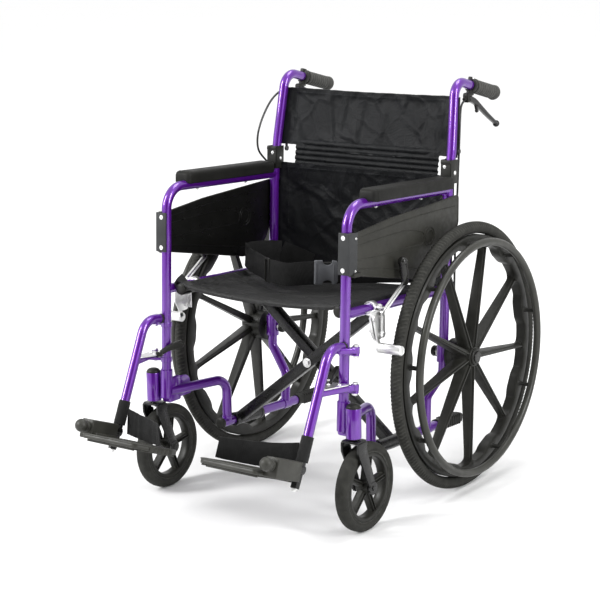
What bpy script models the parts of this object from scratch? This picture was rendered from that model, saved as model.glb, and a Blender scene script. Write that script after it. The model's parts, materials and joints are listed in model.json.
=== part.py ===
"""Folding wheelchair with spoked rear wheels, swing-away legrests and a half-folding back.

Metres, +Z up. The chair faces -Y and its user's left is +X. The origin is on the floor, under the
middle of the chair. Each side frame leans back by LEAN about the rear axle: points named "frame"
points are given upright, before that lean, from the axle's foot on the floor.
"""

import math

import bmesh
import bpy
from mathutils import Matrix, Vector

COLLECTION = "folding_wheelchair"
GAP = 0.0004  # between pieces that touch on the real chair
RUN = 0.0005  # radial clearance of a turning fit

# The whole chair
AXLE_Y = 0.2012
WHEEL_RADIUS = 0.305
WHEEL_X = 0.298
LEAN = math.radians(3.0)
TUBE = 0.011
POST_X = 0.242
RAIL_X = 0.201

# Heights and depths in the upright frame
FRONT_POST_Y = -0.408
REAR_POST_Y = -0.005
ARM_Z = 0.680
SEAT_TUBE = Vector((0.214, 0.0, 0.4530))
SEAT_RAIL_Z = 0.452
LOWER_RAIL_Z = 0.119
FRONT_POST_FOOT_Z = 0.205

# Scissor
BRACE_A_Y = -0.155
BRACE_B_Y = -0.188
BRACE_SIDE = 0.025

# Rear wheel
TYRE_TUBE = 0.014
RIM_OUTER = 0.2762
RIM_INNER = 0.2560
SPOKE_DISH = 0.014
HANDRIM_RADIUS = 0.263
HANDRIM_X = 0.339
SPOKES = 9
SPOKE_START = math.radians(17.0)
CASTER_SPOKE_START = math.radians(11)
HUB_OUT_X = 0.328
HUB_IN_X = 0.262
AXLE_RADIUS = 0.006

# Caster
SWIVEL = Vector((0.273, -0.419, 0.0))
CASTER_RADIUS = 0.0975
CASTER_AXLE_Y = -0.380
CASTER_HALF = 0.015

# Legrest, in the upright frame
SWING_PIN = Vector((0.272, -0.411, 0.382))
LOWER_PIN_Z = 0.302
HANGER_TUBE = 0.0105
HANGER_START = Vector((0.248, -0.4218, 0.3858))
HANGER_BEND = Vector((0.248, -0.474, 0.391))
HANGER_FOOT = Vector((0.247, -0.5605, 0.1785))
PLATE_PIVOT = Vector((0.247, -0.5732, 0.1562))
PLATE_SLOPE = math.radians(17.7)

# Back, from the axle's foot on the floor, without the lean
BACK_PIN = Vector((0.242, 0.022, 0.716))
GRIP_START = Vector((0.234, 0.137, 0.8986))
GRIP_END = Vector((0.234, 0.236, 0.8738))
LEVER_PIVOT = Vector((0.234, 0.121, 0.872))
LATCH_PIVOT = Vector((0.2225, 0.040, 0.738))

# Wheel lock, also without the lean
LOCK_PIVOT = Vector((0.272, -0.307, 0.417))
SHOE_PIVOT = Vector((0.272, -0.335, 0.455))
SHOE = Vector((0.300, -0.315, 0.388))
SHOE_RADIUS = 0.011

PAINTS = {
    "purple": ((0.13, 0.02, 0.30), 0.25, 0.6),
    "black_metal": ((0.020, 0.020, 0.020), 0.45, 0.3),
    "black_plastic": ((0.030, 0.030, 0.028), 0.55, 0.0),
    "silver": ((0.60, 0.60, 0.61), 0.30, 0.9),
    "tyre": ((0.035, 0.035, 0.033), 0.85, 0.0),
    "rubber": ((0.030, 0.030, 0.029), 0.80, 0.0),
    "nylon": ((0.020, 0.021, 0.023), 0.90, 0.0),
    "pad": ((0.025, 0.025, 0.025), 0.60, 0.0),
}

X = Vector((1.0, 0.0, 0.0))
Y = Vector((0.0, 1.0, 0.0))
Z = Vector((0.0, 0.0, 1.0))
LEAN_TURN = Matrix.Rotation(-LEAN, 4, "X")
AXLE = Vector((0.0, AXLE_Y, WHEEL_RADIUS))
FRAME_Y = LEAN_TURN @ Y
FRAME_Z = LEAN_TURN @ Z


def clear_scene():
    for obj in list(bpy.data.objects):
        bpy.data.objects.remove(obj, do_unlink=True)


def new_collection(name):
    made = bpy.data.collections.new(name)
    bpy.context.scene.collection.children.link(made)
    return made


def material(name):
    found = bpy.data.materials.get(name)
    if found:
        return found
    colour, roughness, metallic = PAINTS[name]
    made = bpy.data.materials.new(name)
    made.use_nodes = True
    shader = made.node_tree.nodes["Principled BSDF"]
    shader.inputs["Base Color"].default_value = (*colour, 1.0)
    shader.inputs["Roughness"].default_value = roughness
    shader.inputs["Metallic"].default_value = metallic
    return made


# ---- places -------------------------------------------------------------------------------------


def frame(point, side=1):
    """A point of the upright frame, leaned back, on one side of the chair."""
    x, y, z = point
    leaned = LEAN_TURN @ Vector((0.0, y, z - WHEEL_RADIUS))
    return Vector((side * x, AXLE_Y + leaned.y, WHEEL_RADIUS + leaned.z))


def floor(point, side=1):
    """A point given from the axle's foot on the floor, on one side of the chair."""
    x, y, z = point
    return Vector((side * x, AXLE_Y + y, z))


def arc_corner(before, corner, after, radius, steps):
    """The points of a tube's bend at a corner."""
    to_before = (before - corner).normalized()
    to_after = (after - corner).normalized()
    half = to_before.angle(to_after) / 2.0
    reach = radius / math.tan(half)
    start = corner + to_before * reach
    centre = corner + (to_before + to_after).normalized() * radius / math.sin(half)
    normal = to_before.cross(to_after).normalized()
    sweep = math.pi - 2.0 * half
    return [
        centre + Matrix.Rotation(-sweep * n / steps, 3, normal) @ (start - centre)
        for n in range(steps + 1)
    ]


def bent(points, radius, steps=4):
    """A tube's centre line, with each inner corner bent to one radius."""
    line = [points[0]]
    for before, corner, after in zip(points, points[1:], points[2:]):
        line += arc_corner(before, corner, after, radius, steps)
    return line + [points[-1]]


def smooth(points, steps=4):
    """A smooth line through the points, as a Catmull-Rom curve."""
    padded = [2 * points[0] - points[1], *points, 2 * points[-1] - points[-2]]
    line = []
    for a, b, c, d in zip(padded, padded[1:], padded[2:], padded[3:]):
        for n in range(steps):
            t = n / steps
            line.append(
                0.5
                * (
                    2 * b
                    + (c - a) * t
                    + (2 * a - 5 * b + 4 * c - d) * t**2
                    + (3 * b - a - 3 * c + d) * t**3
                )
            )
    return line + [points[-1]]


# ---- making solids ------------------------------------------------------------------------------


def object_from(mesh, name="piece"):
    obj = bpy.data.objects.new(name, mesh)
    PARTS.objects.link(obj)
    return obj


def as_mesh(obj):
    """The object as a plain mesh with world coordinates, its loose caps welded."""
    bpy.context.view_layer.update()
    evaluated = obj.evaluated_get(bpy.context.evaluated_depsgraph_get())
    mesh = bpy.data.meshes.new_from_object(evaluated)
    mesh.transform(obj.matrix_world)
    shape = bmesh.new()
    shape.from_mesh(mesh)
    bmesh.ops.remove_doubles(shape, verts=shape.verts, dist=0.000001)
    bmesh.ops.recalc_face_normals(shape, faces=shape.faces)
    shape.to_mesh(mesh)
    shape.free()
    bpy.data.objects.remove(obj, do_unlink=True)
    return object_from(mesh)


def tube(points, radius=TUBE, sides=2):
    """A round bar or tube along a line. sides is the curve's bevel resolution."""
    curve = bpy.data.curves.new("tube", "CURVE")
    curve.dimensions = "3D"
    curve.bevel_depth = radius
    curve.bevel_resolution = sides
    curve.render_resolution_u = 0
    curve.use_fill_caps = True
    spline = curve.splines.new("POLY")
    spline.points.add(len(points) - 1)
    for place, point in zip(spline.points, points):
        place.co = (*point, 1.0)
    spline.use_smooth = True
    return as_mesh(object_from(curve))


def bar(start, end, radius, sides=14, end_radius=None):
    """A straight round bar, or a cone, from start to end."""
    shape = bmesh.new()
    length = (end - start).length
    turn = Z.rotation_difference(end - start).to_matrix().to_4x4()
    bmesh.ops.create_cone(
        shape,
        cap_ends=True,
        segments=sides,
        radius1=radius,
        radius2=radius if end_radius is None else end_radius,
        depth=length,
        matrix=Matrix.Translation((start + end) / 2) @ turn,
    )
    return from_bmesh(shape)


def ball(centre, radius, sides=12):
    shape = bmesh.new()
    bmesh.ops.create_uvsphere(
        shape, u_segments=sides, v_segments=sides // 2, radius=radius, matrix=Matrix.Translation(centre)
    )
    return from_bmesh(shape)


def from_bmesh(shape):
    mesh = bpy.data.meshes.new("solid")
    shape.to_mesh(mesh)
    shape.free()
    return object_from(mesh)


def block(size, centre, turn=None, bevel=0.0, steps=1):
    """A box, turned about its centre, with its edges rounded."""
    shape = bmesh.new()
    bmesh.ops.create_cube(shape, size=1.0, matrix=Matrix.Diagonal((*size, 1.0)))
    if bevel:
        bmesh.ops.bevel(shape, geom=shape.edges, offset=bevel, segments=steps, affect="EDGES")
    bmesh.ops.transform(shape, matrix=turn or Matrix(), verts=shape.verts)
    bmesh.ops.translate(shape, vec=centre, verts=shape.verts)
    return from_bmesh(shape)


def strut(start, end, width, thickness, across):
    """A flat bar from start to end: width lies along across, thickness at right angles to it."""
    along = (end - start).normalized()
    flat = (across - across.dot(along) * along).normalized()
    normal = along.cross(flat)
    turn = Matrix((along, flat, normal)).transposed().to_4x4()
    return block(((end - start).length, width, thickness), (start + end) / 2, turn)


def plate(outline, low, high, axis=X):
    """A flat plate: its outline is in the other two axes, and it runs from low to high along X."""
    curve = bpy.data.curves.new("plate", "CURVE")
    curve.dimensions = "2D"
    curve.fill_mode = "BOTH"
    curve.extrude = (high - low) / 2
    curve.render_resolution_u = 0
    spline = curve.splines.new("POLY")
    spline.points.add(len(outline) - 1)
    for place, (a, b) in zip(spline.points, outline):
        place.co = (a, b, 0.0, 1.0)
    spline.use_cyclic_u = True
    obj = object_from(curve)
    to_yz = Matrix(((0, 0, 1, 0), (1, 0, 0, 0), (0, 1, 0, 0), (0, 0, 0, 1)))
    obj.matrix_world = Matrix.Translation(axis * (low + high) / 2) @ to_yz
    return as_mesh(obj)


def turned(profile, centre, steps=48):
    """A ring turned about an X axis. Its closed profile is (radius, x), counted from the centre."""
    shape = bmesh.new()
    corners = [shape.verts.new((r, 0.0, -x)) for r, x in profile]
    for a, b in zip(corners, corners[1:] + corners[:1]):
        shape.edges.new((a, b))
    mesh = bpy.data.meshes.new("turned")
    shape.to_mesh(mesh)
    shape.free()
    obj = object_from(mesh)
    screw = obj.modifiers.new("turn", "SCREW")
    screw.axis = "Z"
    screw.steps = steps
    screw.render_steps = steps
    screw.use_merge_vertices = True
    screw.merge_threshold = 0.00001
    screw.use_normal_calculate = True
    obj.matrix_world = Matrix.Translation(centre) @ Matrix.Rotation(math.pi / 2, 4, "Y")
    return as_mesh(obj)


def sheet(rows, thickness):
    """A soft panel: a net of points, given rows of equal length, thickened about its middle."""
    shape = bmesh.new()
    net = [[shape.verts.new(point) for point in row] for row in rows]
    for low, high in zip(net, net[1:]):
        for n in range(len(low) - 1):
            shape.faces.new((low[n], low[n + 1], high[n + 1], high[n]))
    panel = from_bmesh(shape)
    solid = panel.modifiers.new("thickness", "SOLIDIFY")
    solid.thickness = thickness
    solid.offset = 0.0
    return as_mesh(panel)


def combine(pieces, operation):
    """One solid from the first piece and the others, joined to it or cut from it."""
    result = pieces[0]
    for other in pieces[1:]:
        step = result.modifiers.new("combine", "BOOLEAN")
        step.operation = operation
        step.solver = "EXACT"
        step.object = other
        result = as_mesh(result)
        bpy.data.objects.remove(other, do_unlink=True)
    return result


def fused(*pieces):
    return combine(pieces, "UNION")


def cut(piece, *cutters):
    return combine((piece, *cutters), "DIFFERENCE")


def finish(obj, name, paint, body):
    """Name a piece, give it its material and hang it on its body's empty."""
    obj.name = name
    obj.data.name = name
    obj.data.materials.clear()
    obj.data.materials.append(material(paint))
    obj.data.transform(Matrix.Translation(-body.location))
    obj.parent = body
    obj.data.shade_smooth()
    obj.data.set_sharp_from_angle(angle=math.radians(35.0))
    return obj


def body_at(name, point):
    """An empty on a body's joint axis."""
    empty = bpy.data.objects.new("body_" + name, None)
    empty.location = point
    empty.empty_display_size = 0.03
    PARTS.objects.link(empty)
    return empty


# ---- side frame ---------------------------------------------------------------------------------


def front_frame(side, body):
    """The armrest and front post in one bent tube, with the two pins that the legrest hangs on."""
    line = [
        frame((POST_X, REAR_POST_Y - TUBE - 0.001, ARM_Z), side),
        frame((POST_X, FRONT_POST_Y, ARM_Z), side),
        frame((POST_X, FRONT_POST_Y, FRONT_POST_FOOT_Z), side),
    ]
    pieces = [tube(bent(line, 0.050, 7))]
    for z in (SWING_PIN.z, LOWER_PIN_Z):
        lug_z = z - 0.0105
        start = frame((POST_X + 0.004, FRONT_POST_Y, lug_z), side)
        end = frame((SWING_PIN.x + 0.009, SWING_PIN.y, lug_z), side)
        pieces.append(strut(start, end, 0.018, 0.004, FRAME_Y))
        pin_low = frame((SWING_PIN.x, SWING_PIN.y, lug_z), side)
        pin_high = frame((SWING_PIN.x, SWING_PIN.y, z + 0.009), side)
        pieces.append(bar(pin_low, pin_high, 0.0040, 12))
        pieces.append(bar(frame((SWING_PIN.x, SWING_PIN.y, z + 0.007), side), pin_high, 0.0065, 6))
    return finish(fused(*pieces), "front_frame_" + SIDES[side], "purple", body)


def rear_frame(side, body):
    """The rear post, the seat rail and the axle's receiver with the axle locked in it."""
    post = [
        frame((POST_X, REAR_POST_Y, 0.700), side),
        frame((POST_X, REAR_POST_Y, 0.258), side),
        frame((RAIL_X, REAR_POST_Y, 0.195), side),
        frame((RAIL_X, REAR_POST_Y, LOWER_RAIL_Z + TUBE + GAP), side),
    ]
    rail_front = frame((POST_X, FRONT_POST_Y + TUBE + 0.001, SEAT_RAIL_Z), side)
    rail_back = frame((POST_X, REAR_POST_Y - 0.002, SEAT_RAIL_Z), side)
    receiver_low = frame((POST_X, REAR_POST_Y, 0.285), side)
    receiver_high = frame((POST_X, REAR_POST_Y, 0.332), side)
    axle_in = floor((0.226, 0.0, WHEEL_RADIUS), side)
    axle_out = floor((HUB_OUT_X - 0.004, 0.0, WHEEL_RADIUS), side)
    knob = floor((0.213, 0.0, WHEEL_RADIUS), side)
    solid = fused(
        tube(bent(post, 0.030)),
        bar(rail_front, rail_back, TUBE, 12),
        bar(receiver_low, receiver_high, 0.0150),
        bar(axle_in, axle_out, AXLE_RADIUS, 16),
        bar(knob, axle_in + X * side * 0.001, 0.0115),
    )
    stem_bore = bar(axle_out - X * side * 0.0130, axle_out + X * side * 0.01, 0.0036, 8)
    return finish(cut(solid, stem_bore), "rear_frame_" + SIDES[side], "purple", body)


def lower_rail(side, body):
    """The bottom rail that the brace turns on, with its front cap and rubber tipping pad."""
    solid = fused(
        bar(frame((RAIL_X, -0.256, LOWER_RAIL_Z), side), frame((RAIL_X, 0.060, LOWER_RAIL_Z), side), TUBE),
        bar(frame((RAIL_X, -0.267, LOWER_RAIL_Z), side), frame((RAIL_X, -0.255, LOWER_RAIL_Z), side), 0.0125),
        block((0.026, 0.107, 0.026), frame((RAIL_X, 0.0935, LOWER_RAIL_Z), side), LEAN_TURN, 0.003),
    )
    return finish(solid, "lower_rail_" + SIDES[side], "purple", body)


def caster_housing(side, body):
    """The welded foot of the frame: caster bearing, post sleeve and the bent tube down to the rail."""
    stem_low = floor((SWIVEL.x, SWIVEL.y, 0.2145), side)
    stem_high = floor((SWIVEL.x, SWIVEL.y, 0.281), side)
    cap_high = floor((SWIVEL.x, SWIVEL.y, 0.288), side)
    sleeve_low = frame((POST_X, FRONT_POST_Y, FRONT_POST_FOOT_Z - 0.003), side)
    sleeve_high = frame((POST_X, FRONT_POST_Y, 0.268), side)
    bore_low = frame((POST_X, FRONT_POST_Y, FRONT_POST_FOOT_Z - GAP), side)
    bore_high = frame((POST_X, FRONT_POST_Y, 0.300), side)
    bend = [
        frame((0.238, -0.399, 0.218), side),
        frame((RAIL_X, -0.240, 0.222), side),
        frame((RAIL_X, -0.236, LOWER_RAIL_Z + TUBE + GAP), side),
    ]
    gusset = strut(
        floor((0.244, -0.393, 0.242), side), floor((0.284, -0.399, 0.242), side), 0.040, 0.006, Z
    )
    weld = block((0.026, 0.012, 0.046), floor((0.258, -0.412, 0.246), side))
    housing = fused(
        bar(stem_low, stem_high, 0.0165, 16),
        bar(stem_high - Z * 0.001, cap_high, 0.0150, 16, 0.0105),
        weld,
        gusset,
        bar(sleeve_low, sleeve_high, 0.0138, 16),
        tube(bent(bend, 0.028)),
    )
    solid = cut(housing, bar(bore_low, bore_high, TUBE + GAP, 16))
    return finish(solid, "caster_housing_" + SIDES[side], "purple", body)


def side_guard(side, body):
    """The moulded panel beside the thigh, with the clip that screws it to the front post."""
    outline = [
        (-0.4235, 0.6255),
        (-0.395, 0.6220),
        (-0.300, 0.6360),
        (-0.120, 0.6560),
        (0.016, 0.6650),
        (0.018, 0.6040),
        (-0.020, 0.5250),
        (-0.060, 0.4900),
        (-0.110, 0.4900),
        (-0.395, 0.5350),
        (-0.4235, 0.5370),
    ]
    places = [frame((0.0, y, z)) for y, z in outline]
    inner = side * (POST_X + TUBE + 0.0015)
    outer = side * (POST_X + TUBE + 0.0045)
    pieces = [plate([(p.y, p.z) for p in places], min(inner, outer), max(inner, outer))]
    clip = block((0.0225, 0.0038, 0.0880), frame((0.2467, -0.4220, 0.58125), side), LEAN_TURN)
    pieces.append(clip)
    for z in (0.615, 0.547):
        screw = frame((POST_X, -0.4225, z), side)
        pieces.append(bar(screw, screw - FRAME_Y * 0.004, 0.0050, 12))
    return finish(fused(*pieces), "side_guard_" + SIDES[side], "black_plastic", body)


def armrest_pad(side, body):
    """The moulded pad, with a channel below that seats it on the armrest tube."""
    pad = block((0.045, 0.3265, 0.027), frame((0.249, -0.18400, 0.6975), side), LEAN_TURN, 0.006, 2)
    channel = bar(frame((POST_X, -0.40, ARM_Z), side), frame((POST_X, 0.02, ARM_Z), side), TUBE + GAP)
    return finish(cut(pad, channel), "armrest_pad_" + SIDES[side], "pad", body)


def lock_bracket(side, body):
    """The clamp round the seat rail and the plate that carries the wheel lock's two pivots."""
    rail = frame((POST_X, -0.310, SEAT_RAIL_Z), side)
    ring = cut(
        bar(rail - FRAME_Y * 0.009, rail + FRAME_Y * 0.009, 0.0140, 16),
        bar(rail - FRAME_Y * 0.02, rail + FRAME_Y * 0.02, TUBE + GAP, 16),
    )
    arm_in = floor((POST_X + 0.0125, -0.305, 0.4600), side)
    arm_out = floor((0.2675, -0.305, 0.4600), side)
    arm = strut(arm_in, arm_out, 0.018, 0.010, Y)
    face = block((0.003, 0.046, 0.064), floor((0.2665, -0.3205, 0.4370), side), None, 0.0012)
    pins = [
        bar(floor((0.2670, p.y, p.z), side), floor((reach, p.y, p.z), side), 0.0035, 12)
        for p, reach in ((LOCK_PIVOT, 0.2768), (SHOE_PIVOT, 0.2722))
    ]
    return finish(fused(ring, arm, face, *pins), "lock_bracket_" + SIDES[side], "silver", body)


def back_bracket(side, body):
    """The black channel on the rear post's top that holds the folding cane's pin."""
    middle = frame((POST_X, REAR_POST_Y + 0.0025, 0.71925), side)
    shell = block((0.030, 0.035, 0.0535), middle, LEAN_TURN, 0.002)
    slot = block((2 * TUBE + 2 * GAP, 0.060, 0.075), middle + FRAME_Y * 0.0155, LEAN_TURN)
    pin = floor(BACK_PIN, side)
    solid = fused(
        cut(shell, slot),
        bar(pin - X * 0.0135, pin + X * 0.0135, 0.0040, 12),
        bar(
            middle - FRAME_Y * 0.0170 + FRAME_Z * 0.012,
            middle - FRAME_Y * 0.0205 + FRAME_Z * 0.012,
            0.0050,
            12,
        ),
    )
    return finish(solid, "back_bracket_" + SIDES[side], "black_plastic", body)


# ---- wheels -------------------------------------------------------------------------------------


def rear_tyre(side, body):
    centre = floor((WHEEL_X, 0.0, WHEEL_RADIUS), side)
    ring = WHEEL_RADIUS - TYRE_TUBE
    steps = 8
    profile = [
        (
            ring + TYRE_TUBE * math.cos(2 * math.pi * n / steps),
            TYRE_TUBE * math.sin(2 * math.pi * n / steps),
        )
        for n in range(steps)
    ]
    return finish(turned(profile, centre, 44), "rear_tyre_" + SIDES[side], "tyre", body)


def rear_wheel(side, body):
    """The moulded wheel: a rim, nine blade spokes and the drum hub, bored for the axle."""
    centre = floor((WHEEL_X, 0.0, WHEEL_RADIUS), side)
    rim = turned(
        [(RIM_OUTER, 0.010), (RIM_OUTER, -0.010), (RIM_INNER, -0.013), (RIM_INNER, 0.013)], centre, 36
    )
    hub_in = floor((HUB_IN_X, 0.0, WHEEL_RADIUS), side)
    hub_out = floor((HUB_OUT_X - 0.006, 0.0, WHEEL_RADIUS), side)
    pieces = [rim, bar(hub_in, hub_out, 0.035, 18)]
    for n in range(SPOKES):
        angle = SPOKE_START + 2 * math.pi * n / SPOKES
        out = Vector((0.0, math.sin(angle), math.cos(angle)))
        start = centre + out * 0.028 + X * side * SPOKE_DISH
        end = centre + out * (RIM_INNER + 0.004)
        pieces.append(strut(start, end, 0.020, 0.012, X.cross(out)))
    bored = cut(fused(*pieces), bar(hub_in - X * side * 0.01, hub_out + X * side * 0.01, 0.0065, 16))
    return finish(bored, "rear_wheel_" + SIDES[side], "black_plastic", body)


def handrim(side, body):
    """The push ring, with the tabs that hold it off the rim."""
    centre = floor((HANDRIM_X, 0.0, WHEEL_RADIUS), side)
    tube_radius = 0.010
    steps = 6
    profile = [
        (
            HANDRIM_RADIUS + tube_radius * math.cos(2 * math.pi * n / steps),
            tube_radius * math.sin(2 * math.pi * n / steps),
        )
        for n in range(steps)
    ]
    pieces = [turned(profile, centre, 40)]
    for n in range(SPOKES):
        angle = SPOKE_START + 2 * math.pi * (n + 0.5) / SPOKES
        out = Vector((0.0, math.sin(angle), math.cos(angle))) * HANDRIM_RADIUS
        foot = floor((WHEEL_X + 0.0136, 0.0, WHEEL_RADIUS), side) + out
        pieces.append(bar(foot, centre + out - X * side * 0.002, 0.0050, 6))
    return finish(fused(*pieces), "handrim_" + SIDES[side], "black_plastic", body)


def axle_button(side, body):
    """The hub's cap, which is the button that frees the quick-release axle."""
    inner = floor((HUB_OUT_X - 0.0008, 0.0, WHEEL_RADIUS), side)
    outer = floor((HUB_OUT_X + 0.0032, 0.0, WHEEL_RADIUS), side)
    stem = floor((HUB_OUT_X - 0.0130, 0.0, WHEEL_RADIUS), side)
    solid = fused(bar(inner, outer, 0.0130, 16), bar(stem, inner + X * side * 0.001, 0.0030, 8))
    return finish(solid, "axle_button_" + SIDES[side], "silver", body)


def fork(side, body):
    """The caster fork: crown, two leaning legs, and the axle bolt."""
    crown = floor((SWIVEL.x, SWIVEL.y, 0.206), side)
    axle = floor((SWIVEL.x, CASTER_AXLE_Y, CASTER_RADIUS), side)
    pieces = [block((0.046, 0.036, 0.0145), crown, None, 0.003)]
    for hand in (-1, 1):
        leg = hand * (CASTER_HALF + 0.0055) * X
        outline = [
            (crown.y - 0.0175, crown.z - 0.004),
            (crown.y + 0.0175, crown.z - 0.004),
            (axle.y + 0.0120, axle.z),
            (axle.y - 0.0120, axle.z),
        ]
        centre_x = crown.x + leg.x
        pieces.append(plate(outline, centre_x - 0.0023, centre_x + 0.0023))
        pieces.append(bar(axle + leg - X * 0.0025, axle + leg + X * 0.0025, 0.0145))
    reach = (CASTER_HALF + 0.012) * X
    pieces.append(bar(axle - reach, axle + reach, 0.0045, 12))
    return finish(fused(*pieces), "fork_" + SIDES[side], "black_metal", body)


def caster_wheel(side, body):
    """The caster's five-spoke wheel, bored for its bolt."""
    centre = floor((SWIVEL.x, CASTER_AXLE_Y, CASTER_RADIUS), side)
    rim = turned([(0.0752, 0.011), (0.0752, -0.011), (0.066, -0.012), (0.066, 0.012)], centre, 32)
    half = (CASTER_HALF + 0.0005) * X
    pieces = [rim, bar(centre - half, centre + half, 0.0150)]
    for n in range(5):
        angle = CASTER_SPOKE_START + 2 * math.pi * n / 5
        out = Vector((0.0, math.sin(angle), math.cos(angle)))
        pieces.append(strut(centre + out * 0.010, centre + out * 0.068, 0.013, 0.014, X.cross(out)))
    bored = cut(fused(*pieces), bar(centre - 2 * half, centre + 2 * half, 0.0050, 12))
    return finish(bored, "caster_wheel_" + SIDES[side], "black_plastic", body)


def caster_tyre(side, body):
    centre = floor((SWIVEL.x, CASTER_AXLE_Y, CASTER_RADIUS), side)
    half = CASTER_HALF
    profile = [
        (0.0755, half - 0.003),
        (0.0880, half),
        (CASTER_RADIUS, 0.006),
        (CASTER_RADIUS, -0.006),
        (0.0880, -half),
        (0.0755, 0.003 - half),
    ]
    return finish(turned(profile, centre, 32), "caster_tyre_" + SIDES[side], "tyre", body)


# ---- legrest ------------------------------------------------------------------------------------


def plate_point(side, u, s, h):
    """A point beside the footplate's pivot: u inboard, s forward along the axis, h above it."""
    y = PLATE_PIVOT.y - s * math.cos(PLATE_SLOPE) + h * math.sin(PLATE_SLOPE)
    z = PLATE_PIVOT.z + s * math.sin(PLATE_SLOPE) + h * math.cos(PLATE_SLOPE)
    return frame((PLATE_PIVOT.x - u, y, z), side)


def plate_turn():
    return LEAN_TURN @ Matrix.Rotation(-PLATE_SLOPE, 4, "X")


def hanger(side, body):
    """The swing-away tube, bored on the frame's two pins."""
    lugs, bores = [], []
    for z in (SWING_PIN.z, LOWER_PIN_Z):
        low = frame((SWING_PIN.x, SWING_PIN.y, z - 0.0080), side)
        high = frame((SWING_PIN.x, SWING_PIN.y, z + 0.0065), side)
        lugs.append(bar(low, high, 0.0090))
        ear = frame((SWING_PIN.x, SWING_PIN.y, z - 0.00075), side)
        ear_tip = frame((SWING_PIN.x - 0.014, SWING_PIN.y - 0.026, z - 0.00075), side)
        lugs.append(strut(ear, ear_tip, 0.0135, 0.014, FRAME_Z))
        bores.append(bar(low - FRAME_Z * 0.02, high + FRAME_Z * 0.02, 0.0040 + RUN, 12))
    line = [frame(HANGER_START, side), frame(HANGER_BEND, side), frame(HANGER_FOOT, side)]
    low_bar = strut(
        frame((0.2470, -0.5130, LOWER_PIN_Z - 0.001), side),
        frame((SWING_PIN.x, SWING_PIN.y - 0.004, LOWER_PIN_Z - 0.001), side),
        0.012,
        0.012,
        FRAME_Z,
    )
    tab = strut(
        frame((0.2600, -0.4620, LOWER_PIN_Z - 0.001), side),
        frame((0.2240, -0.4460, LOWER_PIN_Z - 0.001), side),
        0.008,
        0.014,
        FRAME_Z,
    )
    pin = frame((0.2300, -0.4480, LOWER_PIN_Z), side)
    pieces = [tube(bent(line, 0.042, 6), HANGER_TUBE), *lugs, low_bar, tab]
    pieces.append(bar(pin, pin + FRAME_Z * 0.0165, 0.0030, 12))
    return finish(cut(fused(*pieces), *bores), "hanger_" + SIDES[side], "purple", body)


def legrest_lever(side, body):
    """The latch lever that frees the swing-away legrest."""
    centre = Vector((0.2300, -0.4480, LOWER_PIN_Z + 0.0090))
    tip = Vector((0.2130, -0.3900, LOWER_PIN_Z + 0.0250))
    low = frame(centre - Z * 0.0050, side)
    high = frame(centre + Z * 0.0050, side)
    solid = fused(
        bar(low, high, 0.0075),
        strut(frame(centre, side), frame(tip, side), 0.011, 0.010, FRAME_Z),
        bar(frame(tip - Z * 0.005, side), frame(tip + Z * 0.005, side), 0.0060, 12),
    )
    bored = cut(solid, bar(low - FRAME_Z * 0.01, high + FRAME_Z * 0.01, 0.0030 + RUN, 12))
    return finish(bored, "legrest_lever_" + SIDES[side], "black_plastic", body)


def footrest_stem(side, body):
    """The stem in the hanger's foot, the footplate's pivot rod and the ball on its front end."""
    foot = frame(HANGER_FOOT, side)
    down = (frame(HANGER_FOOT, side) - frame(HANGER_BEND, side)).normalized()
    pivot = plate_point(side, 0, 0, 0)
    solid = fused(
        bar(pivot - down * 0.001, foot + down * 0.0030, 0.0095),
        bar(pivot - down * 0.002, pivot + down * 0.040, 0.0095),
        bar(plate_point(side, 0, -0.010, 0), plate_point(side, 0, 0.0125, 0), 0.0160, 16),
        bar(plate_point(side, 0, 0.0, 0), plate_point(side, 0, 0.118, 0), 0.0090, 16),
        ball(plate_point(side, 0, 0.1175, 0), 0.0145),
    )
    return finish(solid, "footrest_stem_" + SIDES[side], "black_metal", body)


def footplate(side, body):
    """The flip-up plate and its sleeve on the pivot rod."""
    turn = plate_turn()
    deck = block((0.164, 0.146, 0.013), plate_point(side, 0.0960, 0.056, -0.019), turn, 0.004)
    web = block((0.030, 0.080, 0.0115), plate_point(side, 0.012, 0.0560, -0.0185), turn)
    sleeve = block((0.032, 0.087, 0.041), plate_point(side, 0, 0.057, -0.0045), turn, 0.004, 2)
    bore = bar(plate_point(side, 0, 0.0, 0), plate_point(side, 0, 0.12, 0), 0.0090 + RUN, 16)
    return finish(cut(fused(deck, web, sleeve), bore), "footplate_" + SIDES[side], "black_plastic", body)


def heel_strap(side, body):
    """The webbing that stops the heel, from the hanger's tube to the plate's inner edge."""
    line = [
        Vector((0.2345, -0.5560, 0.0)),
        Vector((0.1900, -0.5660, 0.0)),
        Vector((0.1300, -0.5920, 0.0)),
        Vector((0.0780, -0.6340, 0.0)),
    ]
    places = [floor(point, side) for point in smooth(line, 3)]
    run = len(places) - 1
    rows = []
    for near, far in ((0.1740, 0.1985), (0.2340, 0.2390)):
        rows.append([Vector((p.x, p.y, near + (far - near) * n / run)) for n, p in enumerate(places)])
    return finish(sheet(rows, 0.0025), "heel_strap_" + SIDES[side], "nylon", body)


# ---- wheel lock ---------------------------------------------------------------------------------


def lock_lever(side, body):
    """The flat lever with its rounded grip."""
    near = X * side * 0.0025
    pivot = floor(LOCK_PIVOT, side) + near
    knee = floor((0.272, -0.306, 0.462), side) + near
    wrist = floor((0.272, -0.221, 0.512), side) + near
    tip = floor((0.272, -0.230, 0.562), side) + near
    half = X * 0.0020
    solid = fused(
        bar(pivot - half, pivot + half, 0.0085),
        strut(pivot, knee, 0.004, 0.013, X),
        bar(knee - half, knee + half, 0.0065),
        strut(knee, wrist, 0.004, 0.011, X),
        bar(wrist - (tip - wrist) * 0.05, tip, 0.0080, 16, 0.0090),
        ball(tip, 0.0090),
    )
    bored = cut(solid, bar(pivot - X * 0.02, pivot + X * 0.02, 0.0035 + RUN, 12))
    return finish(bored, "lock_lever_" + SIDES[side], "silver", body)


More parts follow.
